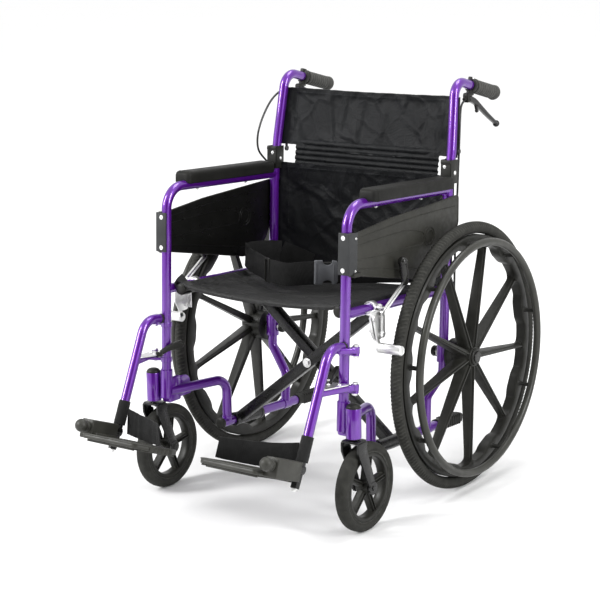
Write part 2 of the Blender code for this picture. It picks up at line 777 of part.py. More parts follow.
def lock_shoe(side, body):
    """The link and the round shoe that presses on the tyre."""
    pivot = floor((0.2705, SHOE_PIVOT.y, SHOE_PIVOT.z), side)
    shoe_in = floor((0.2692, SHOE.y, SHOE.z), side)
    shoe_out = floor((0.3270, SHOE.y, SHOE.z), side)
    half = X * 0.0013
    solid = fused(
        bar(pivot - half, pivot + half, 0.0065),
        strut(pivot, floor((0.2705, SHOE.y, SHOE.z), side), 0.0026, 0.010, X),
        bar(shoe_in, shoe_out, SHOE_RADIUS, 16),
    )
    bored = cut(solid, bar(pivot - X * 0.02, pivot + X * 0.02, 0.0035 + RUN, 12))
    return finish(bored, "lock_shoe_" + SIDES[side], "silver", body)


# ---- back ---------------------------------------------------------------------------------------


def back_cane(side, body):
    """The folding upper cane, bored on the bracket's pin and bent back into the push handle."""
    line = [
        floor(BACK_PIN, side),
        floor((0.242, 0.031, 0.765), side),
        floor((0.234, 0.058, 0.9185), side),
        floor(GRIP_END, side),
    ]
    start = floor(BACK_PIN, side)
    cane = tube(bent(line, 0.034))
    eye = bar(start - X * (TUBE - GAP), start + X * (TUBE - GAP), 0.0104)
    bored = cut(fused(cane, eye), bar(start - X * 0.03, start + X * 0.03, 0.0040 + RUN, 12))
    return finish(bored, "back_cane_" + SIDES[side], "purple", body)


def grip(side, body):
    """The push handle's grip, with the brake lever's clamp in front of it."""
    start = floor(GRIP_START, side)
    end = floor(GRIP_END, side)
    along = (end - start).normalized()
    pivot = floor(LEVER_PIVOT, side)
    clamp_low = start - along * 0.014
    clamp = [
        bar(clamp_low, start + along * 0.003, 0.0178, 16),
        strut(clamp_low + along * 0.006, pivot + Z * 0.0075, 0.010, 0.012, X),
        block((0.014, 0.022, 0.006), pivot + Vector((0.0, -0.004, 0.0082)), None, 0.0015),
        block((0.014, 0.008, 0.018), pivot + Vector((0.0, -0.0125, 0.0015)), None, 0.0015),
    ]
    body_of_grip = bar(start, end + along * 0.006, 0.0165, 16)
    heel = ball(end - along * 0.002 - Z * 0.004, 0.0155)
    bore = bar(clamp_low - along * 0.01, end + along * 0.0005, TUBE + GAP, 16)
    solid = cut(fused(body_of_grip, heel, *clamp), bore)
    return finish(solid, "grip_" + SIDES[side], "rubber", body)


def brake_lever(side, body):
    """The attendant's brake lever, with its ball end."""
    pivot = floor(LEVER_PIVOT, side)
    tip = floor((LEVER_PIVOT.x, 0.245, 0.801), side)
    knee = floor((LEVER_PIVOT.x, 0.160, 0.853), side)
    solid = fused(
        bar(pivot - X * 0.005, pivot + X * 0.005, 0.0045, 12),
        strut(pivot, knee, 0.010, 0.008, X),
        bar(knee - X * 0.005, knee + X * 0.005, 0.0050, 12),
        strut(knee, tip, 0.009, 0.008, X),
        ball(tip, 0.0080, 12),
    )
    return finish(solid, "brake_lever_" + SIDES[side], "black_metal", body)


def back_latch(side, body):
    """The sprung latch inside the bracket that locks the cane upright."""
    pivot = floor(LATCH_PIVOT, side)
    tip = pivot + Vector((-0.002 * side, 0.022, 0.024))
    solid = fused(
        bar(pivot - X * 0.0022, pivot + X * 0.0022, 0.0060, 12),
        strut(pivot, tip, 0.0044, 0.008, X),
        ball(tip, 0.0080, 12),
    )
    return finish(solid, "back_latch_" + SIDES[side], "black_plastic", body)


CABLE_LEFT_TOP = (
    (0.2340, 0.1000, 0.8700),
    (0.2345, 0.0840, 0.8560),
    (0.2400, 0.0700, 0.8200),
    (0.2440, 0.0600, 0.7700),
    (0.2460, 0.0530, 0.7200),
    (0.2470, 0.0470, 0.6600),
)
CABLE_RIGHT_TOP = (
    (0.2340, 0.1000, 0.8700),
    (0.2400, 0.0860, 0.8740),
    (0.2510, 0.0600, 0.8720),
    (0.2570, 0.0280, 0.8520),
    (0.2600, -0.0030, 0.8150),
    (0.2630, -0.0200, 0.7750),
    (0.2650, -0.0160, 0.7380),
    (0.2650, 0.0140, 0.7080),
    (0.2610, 0.0410, 0.6800),
    (0.2530, 0.0480, 0.6420),
)
CABLE_TAIL = (
    (0.2480, 0.0400, 0.6000),
    (0.2490, 0.0340, 0.5200),
    (0.2500, 0.0300, 0.4500),
    (0.2510, 0.0300, 0.3900),
    (0.2530, 0.0310, 0.3500),
    (0.2570, 0.0290, 0.3180),
)


def brake_cable(side, body):
    """The cable from the lever's clamp to the drum in the hub. The right one loops forward first."""
    top = CABLE_LEFT_TOP if side > 0 else CABLE_RIGHT_TOP
    route = [floor(point, side) for point in top + CABLE_TAIL]
    return finish(tube(smooth(route, 2), 0.0028, 1), "brake_cable_" + SIDES[side], "rubber", body)


# ---- scissor and upholstery ---------------------------------------------------------------------


def brace(name, low_side, y, body):
    """A brace: the sleeve on the lower rail, the arm, and the seat tube on the other side."""
    low = frame((RAIL_X, y, LOWER_RAIL_Z), low_side)
    high = frame((SEAT_TUBE.x, y, SEAT_TUBE.z), -low_side)
    arm = strut(low, high, BRACE_SIDE, BRACE_SIDE, FRAME_Y)
    sleeve_front = frame((RAIL_X, -0.214, LOWER_RAIL_Z), low_side)
    sleeve_back = frame((RAIL_X, -0.110, LOWER_RAIL_Z), low_side)
    seat_front = frame((SEAT_TUBE.x, -0.385, SEAT_TUBE.z), -low_side)
    seat_back = frame((SEAT_TUBE.x, -0.022, SEAT_TUBE.z), -low_side)
    cap = frame((SEAT_TUBE.x, -0.397, SEAT_TUBE.z), -low_side)
    solid = fused(
        arm,
        bar(sleeve_front, sleeve_back, 0.0155, 16),
        bar(seat_front, seat_back, TUBE, 16),
        bar(cap, seat_front + FRAME_Y * 0.001, 0.0125),
    )
    reach = FRAME_Y * 0.02
    return cut(solid, bar(sleeve_front - reach, sleeve_back + reach, TUBE + RUN, 16)), low, high


def scissor(body_a, body_b):
    """The two crossed braces. Brace A carries the bolt that brace B turns on."""
    brace_a, low, high = brace("brace_a", 1, BRACE_A_Y, body_a)
    brace_b, _, _ = brace("brace_b", -1, BRACE_B_Y, body_b)
    run = (low.x - 0.0) / (low.x - high.x)
    centre = low.lerp(high, run)
    bolt_head = centre + FRAME_Y * (BRACE_B_Y - BRACE_A_Y - BRACE_SIDE / 2 - 0.006)
    face_b = centre + FRAME_Y * (BRACE_B_Y - BRACE_A_Y)
    washer = centre + FRAME_Y * (BRACE_B_Y - BRACE_A_Y + BRACE_SIDE / 2 + 0.0005)
    head_base = face_b - FRAME_Y * (BRACE_SIDE / 2 + 0.0005)
    bolted = fused(
        brace_a,
        bar(washer, centre, 0.0110),
        bar(bolt_head, centre, 0.0050, 16),
        bar(bolt_head, head_base, 0.0085, 6),
    )
    bore = bar(face_b - FRAME_Y * 0.02, face_b + FRAME_Y * 0.02, 0.0050 + RUN, 16)
    finish(bolted, "brace_a", "black_metal", body_a)
    finish(cut(brace_b, bore), "brace_b", "black_metal", body_b)
    return centre


def sagging(x, half_width, sag):
    return -sag * (1.0 - (x / half_width) ** 2)


def across(half_width, count):
    return [half_width * (2.0 * n / count - 1.0) for n in range(count + 1)]


def seat_sling(body):
    half = 0.220
    rows = [
        [frame((x, y, 0.4690 + sagging(x, half, 0.0165))) for x in across(half, 12)]
        for y in (-0.392, -0.026)
    ]
    return finish(sheet(rows, 0.003), "seat_sling", "nylon", body)


def back_lower(body):
    half = 0.2260
    rows = [
        [frame((x, 0.012 - sagging(x, half, 0.020), z)) for x in across(half, 10)]
        for z in (0.458, 0.580, 0.697)
    ]
    return finish(sheet(rows, 0.003), "back_lower", "nylon", body)


def back_upper(body):
    rows = []
    for n in range(4):
        rise = n / 3.0
        z = 0.702 + 0.180 * rise
        half = 0.2220 - 0.004 * rise
        y = 0.022 + 0.036 * rise
        row = []
        for x in across(half, 10):
            dip = sagging(x, half, 0.008 * rise)
            row.append(floor((x, y - sagging(x, half, 0.022), z + dip)))
        rows.append(row)
    return finish(sheet(rows, 0.003), "back_upper", "nylon", body)


def lap_belt(body):
    """The belt, fastened and lying on edge across the seat."""
    line = [
        Vector((-0.200, -0.034, 0.0)),
        Vector((-0.212, -0.090, 0.0)),
        Vector((-0.208, -0.145, 0.0)),
        Vector((-0.150, -0.196, 0.0)),
        Vector((-0.085, -0.238, 0.0)),
        Vector((-0.030, -0.243, 0.0)),
        Vector((0.018, -0.204, 0.0)),
        Vector((0.110, -0.120, 0.0)),
        Vector((0.205, -0.040, 0.0)),
    ]
    places = smooth(line, 3)
    rows = []
    for height in (0.004, 0.052):
        rows.append([frame((p.x, p.y, 0.4690 + sagging(p.x, 0.220, 0.0165) + height)) for p in places])
    return finish(sheet(rows, 0.003), "lap_belt", "nylon", body)


# ---- the chair ----------------------------------------------------------------------------------

SIDES = {1: "left", -1: "right"}


def build_side(side):
    name = SIDES[side]
    frame_body = body_at("frame_" + name, AXLE + X * side * POST_X)
    for make in (
        front_frame,
        rear_frame,
        lower_rail,
        caster_housing,
        side_guard,
        armrest_pad,
        lock_bracket,
        back_bracket,
    ):
        make(side, frame_body)
    wheel_body = body_at("wheel_" + name, AXLE + X * side * WHEEL_X)
    for make in (rear_tyre, rear_wheel, handrim):
        make(side, wheel_body)
    axle_button(side, body_at("axle_button_" + name, AXLE + X * side * HUB_OUT_X))
    fork(side, body_at("fork_" + name, floor(SWIVEL, side)))
    caster_body = body_at("caster_" + name, floor((SWIVEL.x, CASTER_AXLE_Y, CASTER_RADIUS), side))
    caster_wheel(side, caster_body)
    caster_tyre(side, caster_body)
    legrest_body = body_at("legrest_" + name, frame(SWING_PIN, side))
    for make in (hanger, footrest_stem, heel_strap):
        make(side, legrest_body)
    legrest_lever(side, body_at("legrest_lever_" + name, frame((0.2300, -0.4480, LOWER_PIN_Z), side)))
    footplate(side, body_at("footplate_" + name, frame(PLATE_PIVOT, side)))
    lock_lever(side, body_at("lock_lever_" + name, floor(LOCK_PIVOT, side)))
    lock_shoe(side, body_at("lock_shoe_" + name, floor(SHOE_PIVOT, side)))
    back_body = body_at("back_" + name, floor(BACK_PIN, side))
    back_cane(side, back_body)
    grip(side, back_body)
    brake_lever(side, body_at("brake_lever_" + name, floor(LEVER_PIVOT, side)))
    back_latch(side, body_at("back_latch_" + name, floor(LATCH_PIVOT, side)))
    brake_cable(side, frame_body)
    return frame_body, back_body


def build_chair():
    left_frame, left_back = build_side(1)
    build_side(-1)
    brace_a = body_at("brace_a", frame((RAIL_X, BRACE_A_Y, LOWER_RAIL_Z)))
    middle_x = RAIL_X / (RAIL_X + SEAT_TUBE.x)
    middle_z = LOWER_RAIL_Z + middle_x * (SEAT_TUBE.z - LOWER_RAIL_Z)
    brace_b = body_at("brace_b", frame((0.0, BRACE_B_Y, middle_z)))
    scissor(brace_a, brace_b)
    seat_sling(brace_a)
    lap_belt(brace_a)
    back_lower(left_frame)
    back_upper(left_back)


clear_scene()
PARTS = new_collection(COLLECTION)
build_chair()
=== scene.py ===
"""Looks of the folding wheelchair: fine tubes, wheels, moulded parts and upholstery around its frame.

Metres, +Z up. The chair faces -Y and its user's left is +X. Paired pieces are made for the left side
and mirrored. The side frames lean back about the rear axle: up() takes a point of the upright frame,
at() a point counted from the axle's foot on the floor, without that lean.
"""

import json
import math
import random

import bmesh
import bpy
import numpy as np
from mathutils import Matrix, Vector, noise


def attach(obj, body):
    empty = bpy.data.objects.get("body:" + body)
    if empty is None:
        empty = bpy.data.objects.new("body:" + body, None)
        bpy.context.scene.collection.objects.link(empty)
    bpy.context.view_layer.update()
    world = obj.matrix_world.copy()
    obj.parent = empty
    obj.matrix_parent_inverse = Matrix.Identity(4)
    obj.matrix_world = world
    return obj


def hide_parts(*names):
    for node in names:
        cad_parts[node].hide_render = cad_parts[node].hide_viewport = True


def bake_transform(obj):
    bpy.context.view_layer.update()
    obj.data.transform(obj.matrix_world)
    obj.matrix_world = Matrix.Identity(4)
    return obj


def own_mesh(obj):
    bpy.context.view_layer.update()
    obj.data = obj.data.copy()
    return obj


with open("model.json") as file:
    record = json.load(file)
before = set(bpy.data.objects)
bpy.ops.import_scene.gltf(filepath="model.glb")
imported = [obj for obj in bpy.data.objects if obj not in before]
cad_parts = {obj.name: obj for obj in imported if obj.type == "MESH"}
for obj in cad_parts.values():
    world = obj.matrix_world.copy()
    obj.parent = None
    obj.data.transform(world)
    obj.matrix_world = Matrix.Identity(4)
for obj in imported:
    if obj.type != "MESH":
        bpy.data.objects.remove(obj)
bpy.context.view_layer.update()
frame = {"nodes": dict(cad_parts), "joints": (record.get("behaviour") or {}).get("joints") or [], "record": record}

# ---- driving dimensions, from the frame's joints and boxes --------------------------------------

PIVOT = {j["name"]: Vector(j["pos_m"]) for j in frame["joints"] if "pos_m" in j}
AXIS = {j["name"]: Vector(j["axis"]) for j in frame["joints"]}
X = Vector((1.0, 0.0, 0.0))
Y = Vector((0.0, 1.0, 0.0))
Z = Vector((0.0, 0.0, 1.0))
AXLE = PIVOT["wheel_spin_left"]
WHEEL_RADIUS = AXLE.z
FRAME_Y = AXIS["fold"].normalized()
FRAME_Z = X.cross(FRAME_Y)
LEAN = math.atan2(-FRAME_Y.z, FRAME_Y.y)
LEAN_TURN = Matrix.Rotation(-LEAN, 3, "X")

TUBE = 0.011
POST_X = 0.242
RAIL_X = PIVOT["fold"].x
FRONT_POST_Y = -0.408
REAR_POST_Y = -0.005
ARM_Z = 0.680
SEAT_RAIL_Z = 0.452
SEAT_TUBE_X = 0.214
SEAT_TUBE_Z = 0.453
LOWER_RAIL_Z = 0.119
POST_FOOT_Z = 0.205
SWIVEL = PIVOT["caster_swivel_left"]
CASTER = PIVOT["caster_spin_left"]
CASTER_RADIUS = CASTER.z
BACK_PIN = PIVOT["back_fold_left"]
PLATE_SLOPE = math.radians(17.7)
SIDES = (("left", 1), ("right", -1))


def up(x, y, z):
    """A point of the upright frame, leaned back."""
    leaned = LEAN_TURN @ Vector((0.0, y, z - WHEEL_RADIUS))
    return Vector((x, AXLE.y + leaned.y, WHEEL_RADIUS + leaned.z))


def at(x, y, z):
    """A point counted from the axle's foot on the floor."""
    return Vector((x, AXLE.y + y, z))


# ---- lines --------------------------------------------------------------------------------------


def bent(points, radius, steps=14):
    """A tube's centre line with every inner corner bent to one radius."""
    line = [points[0]]
    for before, corner, after in zip(points, points[1:], points[2:]):
        to_before = (before - corner).normalized()
        to_after = (after - corner).normalized()
        half = to_before.angle(to_after) / 2.0
        start = corner + to_before * radius / math.tan(half)
        centre = corner + (to_before + to_after).normalized() * radius / math.sin(half)
        normal = to_before.cross(to_after).normalized()
        sweep = math.pi - 2.0 * half
        for n in range(steps + 1):
            turn = Matrix.Rotation(-sweep * n / steps, 3, normal)
            line.append(centre + turn @ (start - centre))
    return line + [points[-1]]


def smooth(points, steps=8):
    """A Catmull-Rom line through the points."""
    points = [Vector(p) for p in points]
    padded = [2 * points[0] - points[1], *points, 2 * points[-1] - points[-2]]
    line = []
    for a, b, c, d in zip(padded, padded[1:], padded[2:], padded[3:]):
        for n in range(steps):
            t = n / steps
            square = 2 * a - 5 * b + 4 * c - d
            cube = 3 * b - a - 3 * c + d
            line.append(0.5 * (2 * b + (c - a) * t + square * t**2 + cube * t**3))
    return line + [points[-1]]


# ---- shapes: each one is (points, faces) --------------------------------------------------------


def loft(rows, closed_rows=True, closed_loft=False, caps=True):
    """Rows of equal length joined by faces."""
    points = [tuple(p) for row in rows for p in row]
    width, count = len(rows[0]), len(rows)
    faces = []
    for n in range(count if closed_loft else count - 1):
        low, high = n * width, (n + 1) % count * width
        for k in range(width if closed_rows else width - 1):
            after = (k + 1) % width
            faces.append((low + k, low + after, high + after, high + k))
    if caps and closed_rows and not closed_loft:
        faces.append(tuple(reversed(range(width))))
        faces.append(tuple(range((count - 1) * width, count * width)))
    return points, faces


def pipe(line, radius, sides=28):
    """A round tube along a line, with its section carried along without twist."""
    line = [Vector(p) for p in line]
    radii = radius if isinstance(radius, (list, tuple)) else [radius] * len(line)
    tangents = []
    for n in range(len(line)):
        tangents.append((line[min(n + 1, len(line) - 1)] - line[max(n - 1, 0)]).normalized())
    normal = tangents[0].orthogonal().normalized()
    rows = []
    for place, tangent, size in zip(line, tangents, radii):
        normal = (normal - normal.dot(tangent) * tangent).normalized()
        other = tangent.cross(normal)
        row = []
        for k in range(sides):
            angle = 2 * math.pi * k / sides
            row.append(place + size * (math.cos(angle) * normal + math.sin(angle) * other))
        rows.append(row)
    return loft(rows)


def lathe(start, direction, profile, sides=32):
    """A solid turned about a line: profile is (along, radius) pairs."""
    direction = direction.normalized()
    normal = direction.orthogonal().normalized()
    other = direction.cross(normal)
    rows = []
    for along, radius in profile:
        row = []
        for k in range(sides):
            angle = 2 * math.pi * k / sides
            row.append(
                start
                + direction * along
                + max(radius, 0.00005) * (math.cos(angle) * normal + math.sin(angle) * other)
            )
        rows.append(row)
    return loft(rows)


def rod(start, end, radius, sides=32, chamfer=0.0006):
    """A round bar with eased ends."""
    length = (end - start).length
    ease = min(chamfer, radius * 0.4, length * 0.4)
    profile = [(0, radius - ease), (ease, radius), (length - ease, radius), (length, radius - ease)]
    return lathe(start, end - start, profile, sides)


def dome(start, direction, radius, height, sides=32, steps=8):
    """A low rounded cap."""
    profile = []
    for n in range(steps + 1):
        angle = math.pi / 2 * n / steps
        profile.append((height * math.sin(angle), radius * math.cos(angle)))
    return lathe(start, direction, profile, sides)


def sphere(centre, radius, sides=32):
    profile = []
    for n in range(sides // 2 + 1):
        angle = math.pi * n / (sides // 2)
        profile.append((radius - radius * math.cos(angle), radius * math.sin(angle)))
    return lathe(centre - Z * radius, Z, profile, sides)


def hexagon(start, direction, radius, height):
    """A hexagon nut or bolt head."""
    ease = 0.0005
    profile = [(0, radius), (height - ease, radius), (height, radius - ease)]
    return lathe(start, direction, profile, 6)


def ring(centre, section, steps, shape=None):
    """A ring about an X axis. section is closed (radius, x) pairs, and shape may change them by angle."""
    rows = []
    for n in range(steps):
        angle = 2 * math.pi * n / steps
        pairs = shape(n, angle) if shape else section
        rows.append(
            [
                Vector((centre.x + x, centre.y + r * math.sin(angle), centre.z + r * math.cos(angle)))
                for r, x in pairs
            ]
        )
    return loft(rows, closed_loft=True)


def from_bmesh(shape):
    shape.verts.ensure_lookup_table()
    points = [tuple(v.co) for v in shape.verts]
    faces = [tuple(v.index for v in f.verts) for f in shape.faces]
    shape.free()
    return points, faces


def box(size, centre, turn=None, bevel=0.001, steps=3):
    """A block with rounded edges."""
    shape = bmesh.new()
    bmesh.ops.create_cube(shape, size=1.0, matrix=Matrix.Diagonal((*size, 1.0)))
    bmesh.ops.bevel(
        shape, geom=shape.edges[:], offset=bevel, segments=steps, affect="EDGES", profile=0.5
    )
    if turn:
        bmesh.ops.transform(shape, matrix=turn.to_4x4(), verts=shape.verts)
    bmesh.ops.translate(shape, vec=centre, verts=shape.verts)
    shape.verts.index_update()
    return from_bmesh(shape)


def beam(start, end, width, thickness, across, bevel=0.001):
    """A flat bar from start to end: width lies along across, thickness at right angles to it."""
    along = (end - start).normalized()
    flat = (across - across.dot(along) * along).normalized()
    turn = Matrix((along, flat, along.cross(flat))).transposed()
    return box(((end - start).length, width, thickness), (start + end) / 2, turn, bevel)


def slab(outline, low, high, bevel=0.0008, steps=2):
    """A plate whose outline is in Y and Z, from low to high along X, with rounded rims."""
    shape = bmesh.new()
    base = [shape.verts.new((low, y, z)) for y, z in outline]
    face = shape.faces.new(base)
    raised = bmesh.ops.extrude_face_region(shape, geom=[face])
    moved = [v for v in raised["geom"] if isinstance(v, bmesh.types.BMVert)]
    bmesh.ops.translate(shape, vec=((high - low), 0, 0), verts=moved)
    bmesh.ops.recalc_face_normals(shape, faces=shape.faces)
    rims = [e for e in shape.edges if abs(e.verts[0].co.x - e.verts[1].co.x) < 1e-7]
    bmesh.ops.bevel(shape, geom=rims, offset=bevel, segments=steps, affect="EDGES", profile=0.5)
    shape.verts.index_update()
    return from_bmesh(shape)


def rounded(outline, radius, steps=6):
    """An outline with every corner rounded. A corner may carry its own radius as a third number."""
    result = []
    count = len(outline)
    for n, corner in enumerate(outline):
        before, after = Vector(outline[n - 1][:2]), Vector(outline[(n + 1) % count][:2])
        size = corner[2] if len(corner) > 2 else radius
        here = Vector(corner[:2])
        to_before, to_after = (before - here), (after - here)
        half = to_before.angle(to_after) / 2.0
        reach = min(size / math.tan(half), 0.45 * to_before.length, 0.45 * to_after.length)
        a, b = here + to_before.normalized() * reach, here + to_after.normalized() * reach
        for k in range(steps + 1):
            t = k / steps
            point = a * (1 - t) ** 2 + here * 2 * t * (1 - t) + b * t**2
            result.append((point.x, point.y))
    return result


def strap(line, ups, width, thickness, ease=0.0007):
    """Flat webbing along a line. ups gives the width's direction, once or at each point."""
    line = [Vector(p) for p in line]
    rows = []
    for n, place in enumerate(line):
        tangent = (line[min(n + 1, len(line) - 1)] - line[max(n - 1, 0)]).normalized()
        high = ups[n] if isinstance(ups, list) else ups
        high = (high - high.dot(tangent) * tangent).normalized()
        out = tangent.cross(high)
        size = width[n] if isinstance(width, list) else width
        w, t = size / 2, thickness / 2
        pairs = [
            (-w + ease, -t), (w - ease, -t), (w, -t + ease * 0.6), (w, t - ease * 0.6),
            (w - ease, t), (-w + ease, t), (-w, t - ease * 0.6), (-w, -t + ease * 0.6),
        ]
        rows.append([place + high * a + out * b for a, b in pairs])
    return loft(rows)


def placed(shape, matrix):
    """A shape with its points transformed."""
    points, faces = shape
    return [tuple(matrix @ Vector(p)) for p in points], faces


def mirrored(shape):
    points, faces = shape
    return [(-x, y, z) for x, y, z in points], [tuple(reversed(f)) for f in faces]


# ---- making pieces ------------------------------------------------------------------------------


def make(name, shapes, paint, sharp=40.0):
    """One object from several shapes, shaded smooth up to a sharp angle in degrees."""
    points, faces = [], []
    for more_points, more_faces in shapes:
        base = len(points)
        points += [tuple(p) for p in more_points]
        faces += [tuple(base + i for i in f) for f in more_faces]
    mesh = bpy.data.meshes.new(name)
    mesh.from_pydata(points, [], faces)
    shape = bmesh.new()
    shape.from_mesh(mesh)
    bmesh.ops.recalc_face_normals(shape, faces=shape.faces)
    shape.to_mesh(mesh)
    shape.free()
    mesh.materials.append(paint)
    mesh.shade_smooth()
    mesh.set_sharp_from_angle(angle=math.radians(sharp))
    obj = bpy.data.objects.new(name, mesh)
    bpy.context.scene.collection.objects.link(obj)
    return obj


def pair(name, body, slot, shapes, replaced=(), sharp=40.0):
    """A left piece and its mirror image, riding on their bodies and standing for their CAD nodes."""
    made = []
    for side, sign in SIDES:
        chosen = shapes if sign > 0 else [mirrored(s) for s in shapes]
        obj = make(f"{name}_{side}", chosen, PAINT[slot], sharp)
        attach(obj, f"{body}_{side}")
        for node in replaced:
            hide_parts(f"{node}_{side}")
        made.append(obj)
    return made


def single(name, body, slot, shapes, replaced=(), sharp=40.0):
    obj = make(name, shapes, PAINT[slot], sharp)
    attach(obj, body)
    if replaced:
        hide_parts(*replaced)
    return obj


# ---- materials ----------------------------------------------------------------------------------


class Paint:
    """A Principled material, with procedural colour, roughness and bump from object coordinates."""

    def __init__(self, name, colour, roughness, **sockets):
        self.material = bpy.data.materials.new(name)
        self.material.use_nodes = True
        self.tree = self.material.node_tree
        self.shader = self.tree.nodes["Principled BSDF"]
        self.place = self.add("ShaderNodeTexCoord").outputs["Object"]
        self.colour, self.roughness = colour, roughness
        self.shader.inputs["Base Color"].default_value = (*colour, 1.0)
        self.shader.inputs["Roughness"].default_value = roughness
        for label, value in sockets.items():
            self.shader.inputs[label.replace("_", " ")].default_value = value
        self.height = None

    def add(self, kind, **values):
        node = self.tree.nodes.new(kind)
        for label, value in values.items():
            if label in node.inputs:
                node.inputs[label].default_value = value
            else:
                setattr(node, label, value)
        return node

    def link(self, source, target):
        self.tree.links.new(source, target)

    def noise(self, scale, detail=3.0, stretch=None):
        node = self.add("ShaderNodeTexNoise", Scale=scale, Detail=detail)
        place = self.place
        if stretch:
            mapping = self.add("ShaderNodeMapping")
            mapping.inputs["Scale"].default_value = stretch
            self.link(place, mapping.inputs["Vector"])
            place = mapping.outputs["Vector"]
        self.link(place, node.inputs["Vector"])
        return node.outputs["Fac"]

    def cells(self, scale, feature="F1"):
        node = self.add("ShaderNodeTexVoronoi", Scale=scale)
        node.feature = feature
        self.link(self.place, node.inputs["Vector"])
        return node.outputs["Distance"]

    def crumple(self, scale, warp, width):
        """Ridges where flat patches of cloth meet, bent by noise."""
        bend = self.add("ShaderNodeTexNoise", Scale=scale * 0.6, Detail=2.0)
        self.link(self.place, bend.inputs["Vector"])
        shift = self.add("ShaderNodeVectorMath", operation="MULTIPLY_ADD")
        shift.inputs[1].default_value = (warp, warp, warp)
        self.link(bend.outputs["Color"], shift.inputs[0])
        self.link(self.place, shift.inputs[2])
        patches = self.add("ShaderNodeTexVoronoi", Scale=scale)
        patches.feature = "DISTANCE_TO_EDGE"
        self.link(shift.outputs["Vector"], patches.inputs["Vector"])
        return self.ramp(patches.outputs["Distance"], 0.0, width, 1.0, 0.0)

    def ramp(self, source, low, high, low_value, high_value):
        node = self.add("ShaderNodeMapRange")
        for label, value in (("From Min", low), ("From Max", high), ("To Min", low_value), ("To Max", high_value)):
            node.inputs[label].default_value = value
        self.link(source, node.inputs["Value"])
        return node.outputs["Result"]

    def vary(self, source, amount, low=0.3, high=0.7):
        """Darkens and lightens the base colour with a pattern."""
        mix = self.add("ShaderNodeMix")
        mix.data_type = "RGBA"
        dark = [c * (1 - amount) for c in self.colour]
        light = [min(1.0, c * (1 + amount)) for c in self.colour]
        for socket, value in ((mix.inputs[6], dark), (mix.inputs[7], light)):
            socket.default_value = (*value, 1.0)
        self.link(self.ramp(source, low, high, 0.0, 1.0), mix.inputs[0])
        self.link(mix.outputs[2], self.shader.inputs["Base Color"])
        return mix.outputs[2]

    def edge_wear(self, base, colour, start, end):
        """Lightens convex edges, broken up by noise."""
        edge = self.add("ShaderNodeNewGeometry").outputs["Pointiness"]
        worn = self.add("ShaderNodeMath", operation="MULTIPLY")
        self.link(self.ramp(edge, start, end, 0.0, 1.0), worn.inputs[0])
        self.link(self.ramp(self.noise(90.0), 0.4, 0.65, 0.15, 1.0), worn.inputs[1])
        mix = self.add("ShaderNodeMix")
        mix.data_type = "RGBA"
        mix.inputs[7].default_value = (*colour, 1.0)
        self.link(worn.outputs[0], mix.inputs[0])
        self.link(base, mix.inputs[6])
        self.link(mix.outputs[2], self.shader.inputs["Base Color"])

    def rough(self, source, spread):
        result = self.ramp(source, 0.3, 0.7, self.roughness - spread, self.roughness + spread)
        self.link(result, self.shader.inputs["Roughness"])

    def bump(self, source, distance, strength=1.0):
        node = self.add("ShaderNodeBump", Distance=distance, Strength=strength)
        self.link(source, node.inputs["Height"])
        if self.height:
            self.link(self.height, node.inputs["Normal"])
        self.height = node.outputs["Normal"]
        self.link(self.height, self.shader.inputs["Normal"])

    def threads(self, pitches):
        """A woven height: one sine along each axis, with the axis's thread pitch in metres."""
        split = self.add("ShaderNodeSeparateXYZ")
        self.link(self.place, split.inputs[0])
        total = None
        for label, pitch in zip("XYZ", pitches):
            if not pitch:
                continue
            scaled = self.add("ShaderNodeMath", operation="MULTIPLY")
            scaled.inputs[1].default_value = 2 * math.pi / pitch
            self.link(split.outputs[label], scaled.inputs[0])
            wave = self.add("ShaderNodeMath", operation="SINE")
            self.link(scaled.outputs[0], wave.inputs[0])
            if total is None:
                total = wave.outputs[0]
                continue
            both = self.add("ShaderNodeMath", operation="ADD")
            self.link(total, both.inputs[0])
            self.link(wave.outputs[0], both.inputs[1])
            total = both.outputs[0]
        return total


def purple_paint():
    """Metallic lacquer: fine flakes under a clear coat."""
    p = Paint("purple_lacquer", (0.105, 0.005, 0.245), 0.34, Metallic=0.58, Coat_Weight=0.8, Coat_Roughness=0.07, Coat_IOR=1.62)
    p.shader.inputs["Coat Tint"].default_value = (0.86, 0.88, 1.0, 1.0)
    base = p.vary(p.noise(900.0, 1.0), 0.10)
    p.edge_wear(base, (0.30, 0.22, 0.42), 0.62, 0.80)
    p.rough(p.noise(30.0), 0.03)
    return p.material


def coat_black(name, colour, roughness):
    """Powder coat with its slight orange peel."""
    p = Paint(name, colour, roughness, Coat_Weight=0.12, Coat_Roughness=0.22, Specular_IOR_Level=0.30)
    base = p.vary(p.noise(35.0), 0.25)
    p.edge_wear(base, (0.10, 0.10, 0.10), 0.57, 0.75)
    p.rough(p.noise(120.0), 0.07)
    p.bump(p.noise(900.0, 2.0), 0.00006)
    return p.material


def moulded(name, colour, roughness, grain, depth, shine=0.20):
    """Moulded plastic with a sparked texture and dusty, slightly polished patches."""
    p = Paint(name, colour, roughness, Specular_IOR_Level=shine)
    base = p.vary(p.noise(22.0, 5.0), 0.22)
    p.edge_wear(base, [min(1.0, c * 3.0 + 0.02) for c in colour], 0.56, 0.74)
    p.rough(p.noise(70.0, 4.0), 0.08)
    p.bump(p.noise(grain, 3.0), depth)
    return p.material


def armrest_foam():
    """Self-skinned foam with a fine leather grain."""
    p = Paint("armrest_skin", (0.0085, 0.0085, 0.0075), 0.54, Specular_IOR_Level=0.13)
    p.vary(p.noise(30.0, 4.0), 0.18)
    p.rough(p.noise(50.0, 3.0), 0.08)
    p.bump(p.cells(900.0, "DISTANCE_TO_EDGE"), 0.00012)
    p.bump(p.noise(160.0, 4.0), 0.00010)
    return p.material


